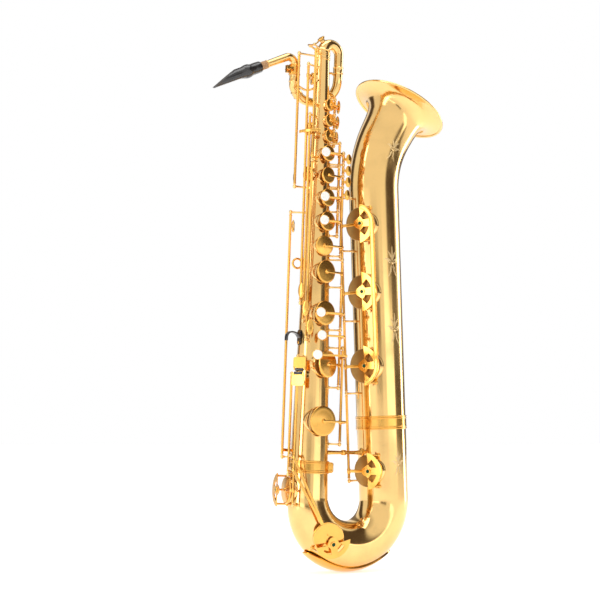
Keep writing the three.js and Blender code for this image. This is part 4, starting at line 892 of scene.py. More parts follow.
def key_matrix(leg, hinge, turn):
    place = beside(*hinge, 0)
    return leg @ Matrix.Translation(place) @ Matrix.Rotation(turn, 4, "Z") @ Matrix.Translation(-place)


def make_key(lay, looks, name, leg, radius_at, hinge, tube, hole=None, extra=(), lift=None, open_at_rest=True,
             turn=None, dome=0.0, cup_finish="key_brass"):
    """Builds one key, with its pad as a piece of its own."""
    lift = lift or lay.stack_lift
    if turn is None:
        turn = lay.lift_turn(hinge, hole, lift)
    matrix = key_matrix(leg, hinge, turn if open_at_rest else 0)
    metal = Piece(matrix)
    metal.add(hinge_rod(lay, hinge, *tube))
    for shell in extra:
        metal.add(shell)
    if hole:
        azimuth, z, radius = hole
        tube_radius = radius_at(z)
        at = aim(beside(azimuth, lay.seat(tube_radius), z), outward(azimuth))
        cup, pad = cup_shells(lay, radius + lay.pad_lap, dome)
        metal.add(cup, at, 1)
        height = lay.arm_height(tube_radius)
        wide = lay.arm_width + (2 if dome else 0)
        for shell in arm(lay, hinge, azimuth, height, z, 3 if radius > 15 else 1.5, wide):
            metal.add(shell)
        metal.add(boss(azimuth, height, z, 4.2 if radius > 15 else 3))
        soft = Piece(matrix).add(pad, at)
        soft.build(f"{name}_pad", name, looks["pad_leather"])
    return metal.build(f"{name}_brass", name, looks["key_brass"], [name], second=looks[cup_finish])


def oval(width, height, depth, crown=1.2):
    """A touch piece with a round outline and a crowned face, on XY and raised along Z."""
    profile = [(0, 0), (0.9, 0), (1, 0.3), (1, 0.6), (0.9, 0.85), (0.6, 1), (0, 1)]
    verts, faces = lathe(profile, 40)
    grown = []
    for v in verts:
        fall = crown * (1 - v.x ** 2 - v.y ** 2) if v.z > 0.5 else 0
        grown.append(Vector((v.x * width / 2, v.y * height / 2, v.z * depth + max(fall, 0))))
    return grown, faces


def touch(azimuth, distance, z, width, height):
    place = basis(-across(azimuth), Z_AXIS, outward(azimuth), beside(azimuth, distance, z))
    return moved(oval(width, height, 2.2, 0.8), place)


# ---------------------------------------------------------------- tubes


def ferrule(radius, low, high):
    """A band with a pair of rolled beads near each end."""
    points = [(radius, low), (radius + 1, low)]
    for at in (low + 1.6, low + 4.8, high - 4.8, high - 1.6):
        points += [(radius + 1, at - 1.2), (radius + 1.75, at - 0.75),
                   (radius + 2, at), (radius + 1.75, at + 0.75),
                   (radius + 1, at + 1.2)]
    points += [(radius + 1, high), (radius, high), (radius, low)]
    return lathe(points, 96)


def tube_shell(profile, wall, sides=96):
    """A turned tube with a wall, from its outside's (radius, height) points."""
    inner = []
    for i, (radius, height) in enumerate(profile):
        (r0, h0), (r1, h1) = profile[max(i - 1, 0)], profile[min(i + 1, len(profile) - 1)]
        far = math.hypot(r1 - r0, h1 - h0)
        inner.append((radius - wall * (h1 - h0) / far, height + wall * (r1 - r0) / far))
    return lathe(profile + inner[::-1] + profile[:1], sides)


def build_body(lay, looks):
    made = Piece(lay.body)
    rows = [lerp(lay.body_start, lay.body_end, i / 24) for i in range(25)]
    made.add(tube_shell([(lay.body_radius(z), z) for z in rows], lay.wall))
    for hole in [*STACK.values(), *(side[1] for side in SIDE.values()), *PALM.values()]:
        made.add(chimney(lay, hole, lay.body_radius(hole[1])))
    for hinge, heights in BODY_POSTS:
        for z in heights:
            for shell in post(lay, hinge, z, lay.body_radius(z)):
                made.add(shell)
    for azimuth, low, high, depth in BODY_RIBS:
        made.add(wrapped(azimuth, RIB_HALF, low, high, lay.body_radius, depth))
    made.add(ferrule(lay.body_radius(lay.body_end), lay.body_end - 16, lay.body_end - 1))
    made.build("body_tube_brass", "instrument", looks["lacquered_brass"], ["body_tube"])


def build_bow(lay, looks):
    made = Piece(Matrix.Identity(4))
    rings = []
    for i in range(121):
        distance = lerp(0.3, lay.bow_length, i / 120)
        radius, at = lay.bow_tube_radius(distance), lay.bow_matrix(distance)
        turns = [2 * math.pi * j / 96 for j in range(96)]
        rings.append([at @ Vector((radius * math.cos(t), radius * math.sin(t), 0)) for t in turns])
    made.add(loft(rings))
    for leg, hole, radius in ((lay.body, E_FLAT, lay.body_radius(E_FLAT[1])),
                              (lay.bell, BELL_HOLES["c_sharp"], lay.bell_tube),
                              (lay.low_c_matrix, LOW_C_HOLE, lay.low_c_radius)):
        made.add(chimney(lay, hole, radius), leg)
    for leg, hinge, z, radius in ((lay.body, E_FLAT_HINGE, E_FLAT_TUBE[0] - POST_STEP, lay.body_foot),
                                  (lay.body, LOW_C_HINGE, LOW_C_TUBE[0] - POST_STEP, lay.body_foot),
                                  (lay.bell, BELL_HINGE, BELL_TUBES["c_sharp"][0] - POST_STEP,
                                   lay.bell_tube)):
        for shell in post(lay, hinge, z, radius):
            made.add(shell, leg)
    made.build("bow_brass", "instrument", looks["lacquered_brass"], ["bow"])

    plate = Piece(Matrix.Identity(4))
    lowest = lay.body_start + math.radians(90) * lay.bow_radius + lay.body_lean * lay.bow_radius
    reach = math.radians(45) * lay.bow_radius
    rings = []
    steps = 48
    for i in range(steps + 1):
        way = lerp(-1, 1, i / steps)
        spread = 32 * math.sqrt(max(1 - abs(way) ** 6, 0.01))
        at = lay.bow_matrix(lowest + way * reach)
        turns = [math.radians(lerp(-spread, spread, j / 24)) for j in range(25)]
        outer, inner = lay.guard_inner + lay.guard_plate - 0.25, lay.guard_inner - 0.9
        rings.append([at @ Vector((outer * math.cos(t), outer * math.sin(t), 0)) for t in turns]
                     + [at @ Vector((inner * math.cos(t), inner * math.sin(t), 0)) for t in reversed(turns)])
    plate.add(loft(rings))
    plate.build("bow_guard_brass", "instrument", looks["key_brass"], ["bow_guard"], 0.5)


def build_joints(lay, looks):
    clamp = Piece(lay.body)
    low = lay.body_start - 12
    clamp.add(ferrule(lay.body_radius(low) + 0.3, low, lay.body_start + 12))
    azimuth, start = 50, lay.body_radius(low) + 1
    out, side = outward(azimuth), across(azimuth)
    for sign in (-1, 1):
        ear = slab([(-10, 0), (10, 0), (10, 6), *arc(6, 6, 4, 0, 90, 5), *arc(-6, 6, 4, 90, 180, 5)], 2.4)
        ear_at = beside(azimuth, start - 1, lay.body_start) + side * (sign * 2.4 - 1.2)
        clamp.add(ear, basis(Z_AXIS, out, side, ear_at))
    for step in (-6, 6):
        middle = beside(azimuth, start + 5, lay.body_start + step)
        clamp.add(rod(middle - side * 8, middle + side * 8, 1.6))
        clamp.add(rod(middle + side * 4.2, middle + side * 8, 3.2, 24, 0.8))
        clamp.add(rod(middle - side * 6.5, middle - side * 3.8, 2.9, 6))
    clamp.build("body_bow_clamp_brass", "instrument", looks["key_brass"], ["body_bow_clamp"])
    band = Piece(lay.bell).add(ferrule(lay.bell_tube + 0.3, lay.bell_start - 14, lay.bell_start + 12))
    band.build("bell_bow_ferrule_brass", "instrument", looks["key_brass"], ["bell_bow_ferrule"])


def on_bell(lay, azimuth, along, height):
    """A point above the bell's or the bow's surface, in the bell's frame."""
    profile = [(lay.bell_tube, 0), *lay.bell_profile()]
    for (r0, z0), (r1, z1) in zip(profile, profile[1:]):
        if z0 <= along <= z1:
            radius = lerp(r0, r1, (along - z0) / (z1 - z0)) + height
    flat = beside(azimuth, radius, along)
    return bent(([flat], []), lay.bell_line)[0][0]


def leaf(lay, azimuth, along, start, turn, reach, curl, width):
    """One cut stroke that swells and curls, laid on the bell: directions in its surface, in millimetres."""
    rows = []
    steps = 12
    x, z = start
    heading = math.radians(turn)
    for i in range(steps + 1):
        t = i / steps
        half = width * math.sin(math.pi * (0.08 + 0.9 * t)) ** 0.8 / 2
        side = (math.cos(heading), -math.sin(heading))
        rows.append([(x + side[0] * s * half, z + side[1] * s * half) for s in (-1, 1)])
        heading += math.radians(curl) / steps
        x += math.sin(heading) * reach / steps
        z += math.cos(heading) * reach / steps
    rings = []
    for (a, b) in rows:
        ring = []
        middle = ((a[0] + b[0]) / 2, (a[1] + b[1]) / 2)
        for (u, v), height in ((a, -0.2), (a, 0.10), (middle, 0.16), (b, 0.10), (b, -0.2)):
            ring.append(on_bell(lay, azimuth + math.degrees(u / lay.bell_tube), along + v, height))
        rings.append(ring)
    return loft(rings)


def build_sprigs(lay, looks):
    """Plain sprigs of leaves round a bead, cut into the front of the bell."""
    made = Piece(lay.bell)
    for azimuth, along, size in SPRIGS:
        for sign in (-1, 1):
            strokes = [((0, 3), sign * 12, 16, sign * 26, 2.6),
                       ((sign * 1, 2), sign * 42, 14, sign * 60, 2.6),
                       ((sign * 2, 0), sign * 80, 12, -sign * 75, 2.4),
                       ((sign * 1, -2), sign * 140, 11, sign * 65, 2.2),
                       ((sign * 0.8, -4), sign * 168, 17, -sign * 24, 2.0)]
            for start, turn, reach, curl, width in strokes:
                made.add(leaf(lay, azimuth, along, (start[0] * size, start[1] * size),
                              turn, reach * size, curl, width * size))
        made.add(leaf(lay, azimuth, along, (0, 4 * size), 0, 21 * size, 0, 2.6 * size))
        centre = on_bell(lay, azimuth, along, -0.7)
        tip = on_bell(lay, azimuth, along, 1)
        made.add(ball(centre, 1.8 * size), Matrix.Translation((tip - centre) * 0.05))
    made.build("bell_sprigs", "instrument", looks["engraved_lines"])


def build_bell(lay, looks):
    made = Piece(lay.bell)
    made.add(bent(tube_shell(lay.bell_profile(), lay.wall, 128), lay.bell_line))
    rim = torus(lay.bell_rim, lay.rim_bead, 128, Matrix.Translation((0, 0, lay.bell_length)))
    made.add(bent(rim, lay.bell_line))
    for note in ("b", "b_flat", "a"):
        made.add(chimney(lay, BELL_HOLES[note], lay.bell_radius()))
    starts = [BELL_TUBES[note][0] - 4 for note in ("b", "b_flat", "a")] + [BELL_TUBES["a"][1] + 4]
    for z in starts:
        for shell in post(lay, BELL_HINGE, z, lay.bell_tube):
            made.add(shell)
    made.add(wrapped(-98, 6, 190, 590, lay.bell_radius, 0.8))
    made.build("bell_brass", "instrument", looks["lacquered_brass"], ["bell"])
    build_sprigs(lay, looks)

    brace = Piece(lay.body)
    height = BRACE_HEIGHT
    left = beside(90, lay.body_radius(height) - 0.5, height)
    right = lay.body.inverted() @ lay.bell @ beside(-90, lay.bell_tube - 0.5, height)
    run = (right - left).normalized()
    brace.add(bar(left, right, round_section(lambda t: 3.4 + 1.4 * abs(2 * t - 1) ** 3, 24), 12))
    middle = left.lerp(right, 0.5)
    brace.add(lathe([(0, -4), (4.6, -4), (5.2, -3), (5.2, 3), (4.6, 4), (0, 4)], 32, aim(middle, run)))
    for at, way in ((left, run), (right, -run)):
        flange = [(0, -1), (9, -1), (9, 1.2), (8, 1.9), (5.5, 2.6), (4.6, 4), (0, 4)]
        brace.add(lathe(flange, 32, aim(at, way)))
    brace.build("bell_brace_brass", "instrument", looks["key_brass"], ["bell_brace"])


# ---------------------------------------------------------------- keys on the body


def pearl_holder(lay, azimuth, height, z):
    r = lay.pearl
    profile = [(0, -1.5), (3.2, -1.2), (3.4, 0.3), (r * 0.6, 1.5),
               (r + 0.7, 2.5), (r + 1.2, 3.2), (r + 1.2, 5.0), (r + 0.8, 5.3),
               (r + 0.4, 5.0), (r + 0.4, 4.1), (0, 4.1)]
    return lathe(profile, 48, aim(beside(azimuth, height, z), outward(azimuth)))


def pearl_disc(lay, azimuth, height, z):
    r = lay.pearl
    profile = [(0, 0), (r - 0.5, 0), (r, 0.5), (r, 1.3), (r - 0.5, 1.9),
               (r - 1.5, 2.2), (r * 0.5, 1.95), (0, 1.85)]
    return lathe(profile, 48, aim(beside(azimuth, height + 4.3, z), outward(azimuth)))


def build_trill_rods(lay, looks):
    """The fixed rod that runs on above the side keys, and the strap that braces the long rods."""
    made = Piece(lay.body)
    made.add(hinge_rod(lay, TRILL_HINGE, TRILL_ROD[0] + 4, TRILL_ROD[-1] - 4))
    for z in TRILL_ROD:
        for shell in post(lay, TRILL_HINGE, z, lay.body_radius(z)):
            made.add(shell)
    z, distance = STRAP["height"], STRAP["distance"]
    strap = [beside(lerp(STRAP["from"], STRAP["to"], i / 16), distance, z) for i in range(17)]
    made.add(sweep(strap, strap_section(5.5, 1.8), Z_AXIS))
    for azimuth in STRAP["legs"]:
        foot, head = beside(azimuth, lay.body_radius(z) - 0.5, z), beside(azimuth, distance - 0.5, z)
        made.add(bar(foot, head, round_section(lambda t: 1.7 + 1.6 * max(1 - 6 * t, 0), 16), 8))
        screw = [(0, 0), (2.6, 0), (2.6, 0.8), (1.8, 1.5), (0, 1.6)]
        made.add(lathe(screw, 20, aim(beside(azimuth, distance + 0.5, z), outward(azimuth))))
    made.build("trill_rod_brass", "instrument", looks["key_brass"])


def build_stack(lay, looks):
    spec = {
        "d": (LOW_D_HINGE, (108.5, 279.5), {"azimuth": -30, "z": 266, "height": 52}),
        "e": (LOWER_HINGE, (213.5, 312.5), {"z": 303, "height": 42}),
        "f": (LOWER_HINGE, (321.5, 393.5), {}), "g": (UPPER_HINGE, (500.5, 537.5), {}),
        "a": (UPPER_HINGE, (546.5, 581.5), {}), "b": (UPPER_HINGE, (633.5, 669.5), {}),
    }
    for note, (hinge, tube, place) in spec.items():
        hole = STACK[note]
        azimuth, z = place.get("azimuth", -22), place.get("z", hole[1])
        height = place.get("height", lay.arm_height(lay.body_radius(hole[1])))
        extra = [*arm(lay, hinge, azimuth, height, z, 1), pearl_holder(lay, azimuth, height, z)]
        turn = lay.lift_turn(hinge, hole, lay.stack_lift)
        make_key(lay, looks, f"key_{note}", lay.body, lay.body_radius, hinge, tube, hole, extra)
        disc = Piece(key_matrix(lay.body, hinge, turn)).add(pearl_disc(lay, azimuth, height, z))
        disc.build(f"pearl_{note}_disc", f"key_{note}", looks["mother_of_pearl"], [f"pearl_{note}"])
    for name, hinge, tube, hole in (("key_f_sharp", LOWER_HINGE, (402.5, 445.5), STACK["f_sharp"]),
                                    ("key_b_flat", UPPER_HINGE, (590.5, 624.5), STACK["b_flat"])):
        make_key(lay, looks, name, lay.body, lay.body_radius, hinge, tube, hole)


def table_touch(z, reach, height=20):
    root = beside(*TABLE_HINGE, z)
    tip = root + Vector((reach, -7, 0))
    stem = bar(root, tip, strap_section(6, 2.6))
    face = basis(Vector((1, 0, 0)), Z_AXIS, Vector((0, -1, 0)), tip + Vector((0, 1.2, 0)))
    return [stem, moved(oval(12, height, 2.2, 0.7), face)]


def build_table(lay, looks):
    make_key(lay, looks, "key_g_sharp", lay.body, lay.body_radius,
             TABLE_HINGE, (462.5, 585.5), STACK["g_sharp"],
             table_touch(576, 7), open_at_rest=False)
    for name, z in (("c_sharp_lever", 594.5), ("low_b_lever", 616.5), ("low_b_flat_lever", 638.5)):
        make_key(lay, looks, name, lay.body, lay.body_radius,
                 TABLE_HINGE, (z, z + 13), None, table_touch(z + 6.5, 8),
                 open_at_rest=False, turn=0.1)


def build_side_keys(lay, looks):
    for name, (hinge, hole, z) in SIDE.items():
        azimuth, distance = hinge[0] + 12, 50
        root, tip = beside(*hinge, z), beside(azimuth, distance, z)
        path = [root.lerp(tip, i / 6) for i in range(7)] + [beside(azimuth, distance + 2.6, z)]
        stem = sweep(path, strap_section(6, 2.6), Z_AXIS)
        make_key(lay, looks, name, lay.body, lay.body_radius, hinge, (z - 17.5, hole[1] + 17.5), hole,
                 [stem, touch(azimuth, 50.4, z, 13, 29)], 4, False)


def build_palm_keys(lay, looks):
    for i, (name, hole) in enumerate(PALM.items()):
        z, azimuth = hole[1], 94 - 4 * i
        root, tip = beside(*PALM_HINGE, z), beside(azimuth, 36.5, z)
        stem = bar(root, tip, strap_section(6, 2.6))
        pitch = PALM_PITCH / 2
        make_key(lay, looks, name, lay.body, lay.body_radius,
                 PALM_HINGE, (z - pitch + 4.5, z + pitch - 4.5), hole,
                 [stem, touch(azimuth, 36, z + 3, 14, 26)], 4, False)


def spatula(hinge, z, roller_side):
    """A little-finger plate with ears for its roller, and the bar that carries it."""
    azimuth, distance, width, height = (SPATULA[k] for k in ("azimuth", "distance", "width", "height"))
    half, tall = width / 2, height / 2
    outline = [*arc(half - 4, tall - 4, 4, 0, 90, 6), *arc(-half + 4, tall - 4, 4, 90, 180, 6),
               (-half, -tall), (half, -tall)]
    place = basis(across(azimuth) * roller_side, Z_AXIS * roller_side,
                  outward(azimuth), beside(azimuth, distance, z))
    shells = [moved(slab(outline, 2.4), place)]
    for side in (-1, 1):
        x = side * (ROLLER_LENGTH / 2 + 2)
        ear = [(x - 1.1, -tall + 2), (x + 1.1, -tall + 2), (x + 1.1, -tall - 3),
               *arc(x, -tall - 3, 1.1, 0, -180, 6)]
        shells.append(moved(slab(ear, 2.4), place))
    pin = rod(Vector((-ROLLER_LENGTH / 2 - 3, -tall - ROLLER_RADIUS - 0.5, 1.2)),
              Vector((ROLLER_LENGTH / 2 + 3, -tall - ROLLER_RADIUS - 0.5, 1.2)), 0.7)
    shells.append(moved(pin, place))
    foot = beside(*hinge, z)
    edge = half - 2
    side_step = min(max(foot.dot(across(azimuth)), -edge), edge)
    tip = across(azimuth) * side_step + outward(azimuth) * (distance + 0.6) + Vector((0, 0, z))
    shells.append(bar(foot, tip, strap_section(8, 3)))
    return shells


def roller(z):
    azimuth, distance = SPATULA["azimuth"], SPATULA["distance"] + 1.2
    half = across(azimuth) * ROLLER_LENGTH / 2
    middle = beside(azimuth, distance, z)
    r, far = ROLLER_RADIUS, ROLLER_LENGTH
    profile = [(0.85, 0), (r - 0.9, 0), (r - 0.25, 0.5), (r, 1.4),
               (r, far - 1.4), (r - 0.25, far - 0.5), (r - 0.9, far),
               (0.85, far), (0.85, 0)]
    return lathe(profile, 32, aim(middle - half, half))


def build_little_finger_keys(lay, looks):
    step = ROLLER_RADIUS + 0.5
    plate_step = step + ROLLER_RADIUS + 0.6 + SPATULA["height"] / 2
    make_key(lay, looks, "e_flat_key", lay.body, lay.body_radius, E_FLAT_HINGE, E_FLAT_TUBE, E_FLAT,
             spatula(E_FLAT_HINGE, ROLLER_MEETING + plate_step, 1), 6, False)
    barrel = Piece(lay.body).add(roller(ROLLER_MEETING + step))
    barrel.build("e_flat_roller_barrel", "e_flat_roller", looks["black_ebonite"], ["e_flat_roller"])

    in_body = lay.body.inverted() @ lay.low_c_matrix
    turned = in_body.to_3x3()
    cup_top = in_body @ beside(LOW_C_HOLE[0], lay.arm_height(lay.low_c_radius), 0)
    out = turned @ outward(LOW_C_HOLE[0])
    flat = Vector((out.x, out.y, 0)).normalized()
    lever = cup_top - beside(*LOW_C_HINGE, 0)
    lever.z = 0
    turn = 8 / Z_AXIS.cross(lever).dot(flat)
    matrix = key_matrix(lay.body, LOW_C_HINGE, turn)
    metal = Piece(matrix).add(hinge_rod(lay, LOW_C_HINGE, *LOW_C_TUBE))
    for z in (LOW_C_TUBE[0] + 6, LOW_C_TUBE[0] + 30):
        foot = beside(*LOW_C_HINGE, z)
        reach = foot + flat * (cup_top - foot).dot(flat)
        path = rounded_corner(foot, reach, cup_top, 8)
        metal.add(sweep(path, strap_section(lambda t: lerp(6, 4.6, t), 2.8), Z_AXIS))
    for shell in spatula(LOW_C_HINGE, ROLLER_MEETING - plate_step, -1):
        metal.add(shell)
    at = in_body @ aim(beside(LOW_C_HOLE[0], lay.seat(lay.low_c_radius), 0), outward(LOW_C_HOLE[0]))
    cup, pad = cup_shells(lay, LOW_C_HOLE[2] + lay.pad_lap, 1.2)
    metal.add(cup, at)
    metal.add(lathe([(0, 3), (6, 3), (5, 5.6), (3.4, 7.6), (0, 7.8)], 32, at))
    metal.build("low_c_key_brass", "low_c_key", looks["key_brass"], ["low_c_key"])
    Piece(matrix).add(pad, at).build("low_c_key_pad", "low_c_key", looks["pad_leather"])
    barrel = Piece(matrix).add(roller(ROLLER_MEETING - step))
    barrel.build("low_c_roller_barrel", "low_c_roller", looks["black_ebonite"], ["low_c_roller"])


def build_bell_keys(lay, looks):
    for note, name in BELL_KEYS.items():
        make_key(lay, looks, name, lay.bell, lay.bell_radius, BELL_HINGE, BELL_TUBES[note], BELL_HOLES[note],
                 lift=lay.bell_lift, dome=1.2, cup_finish="satin_cups")


# ---------------------------------------------------------------- guards


def half_moon(lay, cup_radius):
    """A half-moon guard plate with two windows and a hole for its felt."""
    edge, inner = cup_radius + GUARD_MARGIN, cup_radius * 0.3
    outline = [*arc(0, 0, edge, -78, 78, 36), (inner, cup_radius * 0.42),
               *arc(3.4, 0, 8, 118, 242, 8), (inner, -cup_radius * 0.42)]

    def window(sign):
        far, near = edge - 8.5, cup_radius * 0.42
        return [*arc(0, 0, far, sign * 14, sign * 52, 10), *arc(0, 0, near + 3, sign * 60, sign * 34, 6),
                (FELT_OFFSET + 6.5, sign * 6.5)]

    return slab(outline, lay.guard_plate, [arc(FELT_OFFSET, 0, FELT_RADIUS + 0.6, 0, 345, 23),
                                           window(1), window(-1)])


def guard_place(hole, hinge_azimuth, height, turn=0.0):
    away = -1 if hinge_azimuth > hole[0] else 1
    at = basis(across(hole[0]) * away, Vector((0, 0, away)), outward(hole[0]),
               beside(hole[0], height, hole[1]))
    return at @ Matrix.Rotation(math.radians(turn), 4, "Z")


def guard_leg(cup_radius, azimuth, height, tube_radius, turn=0.0):
    edge = cup_radius + GUARD_MARGIN - 2
    x, y = arc(0, 0, edge, azimuth, azimuth, 1)[0]
    sideways = abs(arc(0, 0, edge, azimuth + turn, azimuth + turn, 1)[0][0])
    depth = math.sqrt(max(tube_radius ** 2 - min(max(sideways - 2, 0), tube_radius) ** 2, 0)) + 0.4 - height
    profile = [(0, depth), (4, depth), (4, depth + 1.6), (2.6, depth + 2.6),
               (1.9, depth + 4.5), (1.9, -2.5), (2.6, 0.2), (0, 0.2)]
    return lathe(profile, 20, Matrix.Translation((x, y, 0)))


def adjuster(lay):
    """The threaded collar that holds a felt in its guard."""
    r = FELT_RADIUS
    top = lay.guard_plate + 1.8
    profile = [(r + 0.2, -1.5), (r + 0.9, -1.5), (r + 0.9, 1.6), (r + 2.4, 1.9), (r + 2.4, top - 0.4),
               (r + 2, top), (r + 0.6, top), (r + 0.2, top - 0.5), (r + 0.2, -1.5)]
    return lathe(profile, 40, Matrix.Translation((FELT_OFFSET, 0, 0)))


def felt_plug(lay):
    r = FELT_RADIUS
    top = lay.guard_plate + 1
    profile = [(0, -2.5), (r - 0.5, -2.5), (r, -2), (r, top - 0.5), (r - 0.5, top), (0, top + 0.15)]
    return lathe(profile, 32, Matrix.Translation((FELT_OFFSET, 0, 0)))


def build_guards(lay, looks):
    def guard(name, leg, hole, hinge_azimuth, tube_radius, lift, legs, turn=0.0):
        cup_radius = hole[2] + lay.pad_lap
        height = lay.guard_height(tube_radius, lift)
        matrix = leg @ guard_place(hole, hinge_azimuth, height, turn)
        plate = Piece(matrix).add(half_moon(lay, cup_radius)).add(adjuster(lay))
        for azimuth in legs:
            plate.add(guard_leg(cup_radius, azimuth, height, tube_radius, turn))
        plate.build(f"{name}_guard_brass", "instrument", looks["key_brass"], [f"{name}_guard"], 0.35)
        plug = Piece(matrix).add(felt_plug(lay))
        plug.build(f"{name}_felt_plug", "instrument", looks["green_felt"], [f"{name}_felt"])

    guard("e_flat", lay.body, E_FLAT, E_FLAT_HINGE[0], lay.body_radius(E_FLAT[1]), 6, (-62, 0, 62))
    guard("low_c", lay.low_c_matrix, LOW_C_HOLE, -90, lay.low_c_radius, 8, (-60, 55), 60)
    guard("low_c_sharp", lay.bell, BELL_HOLES["c_sharp"], BELL_HINGE[0],
          lay.bell_tube, lay.bell_lift, (-60, 60))

    height = lay.guard_height(lay.bell_radius(), lay.bell_lift)
    long_guard = Piece(lay.bell)
    for note in ("b", "b_flat", "a"):
        hole = BELL_HOLES[note]
        cup_radius = hole[2] + lay.pad_lap
        at = guard_place(hole, BELL_HINGE[0], height)
        long_guard.add(half_moon(lay, cup_radius), at).add(adjuster(lay), at)
        for azimuth in (-62, 62):
            long_guard.add(guard_leg(cup_radius, azimuth, height, lay.bell_radius()), at)
        plug = Piece(lay.bell @ at).add(felt_plug(lay))
        plug.build(f"low_{note}_felt_plug", "instrument", looks["green_felt"], [f"low_{note}_felt"])
    low, high = BELL_HOLES["b"], BELL_HOLES["a"]
    reach = low[2] + lay.pad_lap + GUARD_MARGIN
    base = guard_place((low[0], low[1], low[2]), BELL_HINGE[0], height)
    far = high[1] - low[1]
    for inset, section in ((4.5, strap_section(1.4, 8.4)), (1.5, round_section(1.5, 14)),
                           (7.6, round_section(1.4, 14))):
        r = reach - inset
        bends = [Vector((r * math.cos(math.radians(a)), -r * math.sin(math.radians(a)), 1.2))
                 for a in range(70, 0, -7)]
        tops = [Vector((v.x, far - v.y, v.z)) for v in reversed(bends)]
        path = [*bends, *(Vector((r, lerp(0, far, i / 10), 1.2)) for i in range(11)), *tops]
        long_guard.add(sweep(path, section, Z_AXIS), base)
    long_guard.build("bell_key_guard_brass", "instrument", looks["key_brass"], ["bell_key_guard"], 0.35)


# ---------------------------------------------------------------- upper loop, neck and mouthpiece


def build_loop(lay, looks):
    made = Piece(lay.body)
    turn_length = math.pi * lay.loop_turn
    top = lay.body_radius(lay.body_end)
    rows = []
    for i in range(49):
        distance = (turn_length + 20) * i / 48
        rows.append((lerp(top, lay.loop_tube, min(distance / turn_length, 1)), distance))
    made.add(bent(lathe([(0, 0), *rows, (0, rows[-1][1])], 48), lay.loop_line))
    x, z, _ = lay.loop_line(turn_length + 19)
    leg = LOOP_LEG
    path = smooth_path([(x, 0, z), (x, 1, z - 28), (x - 2, 5, z - 48),
                        (x - 13, 16, z - 66), (x - 35, 29, z - 74),
                        (x - 62, 32, z - 68), (leg.x + 5, 28, z - 52), (leg.x, leg.y + 1, leg.z - 21),
                        (leg.x, leg.y, leg.z - 13), (leg.x, leg.y, leg.z)], 10)
    made.add(sweep(path, round_section(lay.loop_tube, 40)))
    r = lay.loop_tube
    band = [(r, -7), (r + 0.9, -7), (r + 1.6, -6.2), (r + 0.9, -5.2), (r + 0.9, 5.2), (r + 1.6, 6.2),
            (r + 0.9, 7), (r, 7), (r, -7)]
    for share_of_way in (0.05, 0.3, 0.62, 0.86):
        i = int(share_of_way * (len(path) - 1))
        made.add(lathe(band, 48, aim(path[i], path[i + 1] - path[i - 1])))
    collar = [(top, 2), (top + 1.2, 2), (top + 1.9, 3.2), (top + 1.2, 4.6), (top, 4.6), (top, 2)]
    made.add(bent(lathe(collar, 48), lay.loop_line))
    brace = smooth_path([(12, 3, z - 20), ((12 + x) / 2, 5, z - 17), (x - 8, 3, z - 20)], 6)
    made.add(sweep(brace, round_section(2.2, 16), Z_AXIS))
    brace = smooth_path([(-11, 6, leg.z - 30), (-26, 16, leg.z - 34), (leg.x + 7, leg.y + 1, leg.z - 26)], 6)
    made.add(sweep(brace, round_section(2.2, 16), Z_AXIS))
    place = lay.vent_matrix()
    made.add(chimney(lay, VENT_HOLE, VENT_TUBE), place)
    for side in (-1, 1):
        root = Vector((-6, side * 5, lay.body_end + 2))
        head = VENT_PIN + Vector((0, side * 8, 0))
        made.add(bar(root, head, round_section(lambda t: 2.4 - 0.9 * t, 16), 8))
        made.add(rod(VENT_PIN + Vector((0, side * 6.5, 0)), VENT_PIN + Vector((0, side * 10, 0)), 2.6))
        made.add(ball(head, 2.9))
    made.build("upper_loop_brass", "instrument", looks["lacquered_brass"], ["upper_loop"])


def build_vent(lay, looks):
    place = lay.vent_matrix()
    pin, half = VENT_PIN, Vector((0, 6, 0))
    key = Piece(lay.body).add(rod(pin - half, pin + half, 2, 20))
    cup_at = place @ aim(beside(0, lay.seat(VENT_TUBE), 0), outward(0))
    cup, pad = cup_shells(lay, VENT_HOLE[2] + lay.pad_lap)
    key.add(cup, cup_at)
    cup_top = place @ beside(0, lay.seat(VENT_TUBE) + lay.cup_depth - 0.6, 0)
    lift = (cup_top - pin).cross(Vector((0, 1, 0))).normalized() * -3
    key.add(sweep(smooth_path([pin, pin.lerp(cup_top, 0.5) + lift, cup_top], 8),
                  strap_section(lambda t: 5.5 - 1.5 * t, 2.4), Vector((0, 1, 0))))
    tail = pin + Vector((-9, 0, -1))
    key.add(bar(pin, tail, strap_section(5, 2.4), 5, face=Vector((0, 1, 0))))
    key.build("octave_vent_key_brass", "octave_vent_key", looks["key_brass"], ["octave_vent_key"])
    Piece(lay.body).add(pad, cup_at).build("octave_vent_key_pad", "octave_vent_key", looks["pad_leather"])


def build_long_levers(lay, looks):
    def thumb(hinge, z, azimuth):
        root, tip = beside(*hinge, z), beside(azimuth, hinge[1] - 2, z)
        stem = bar(root, tip, strap_section(6, 2.6))
        return [stem, touch(azimuth, hinge[1] - 3.6, z, 14, 24)]

    foot = beside(*LOW_A_HINGE, LOW_A_TUBE[0] + 8)
    tip = beside(180, 44, LOW_A_TUBE[0] + 8)
    link = bar(foot, tip, strap_section(lambda t: 6 - t, 2.6), 8)
    make_key(lay, looks, "low_a_lever", lay.body, lay.body_radius, LOW_A_HINGE, LOW_A_TUBE, None,
             [*thumb(LOW_A_HINGE, LOW_A_TUBE[1] - 20, -140), link], open_at_rest=False, turn=0.1)
    crank = beside(*OCTAVE_HINGE, OCTAVE_TUBE[1] - 4)
    end = crank + Vector((6, 9, 0))
    link = bar(crank, end, strap_section(lambda t: 5 - t, 2.6))
    make_key(lay, looks, "octave_lever", lay.body, lay.body_radius, OCTAVE_HINGE, OCTAVE_TUBE, None,
             [*thumb(OCTAVE_HINGE, OCTAVE_TUBE[0] + 18, -132), link], open_at_rest=False, turn=0.1)


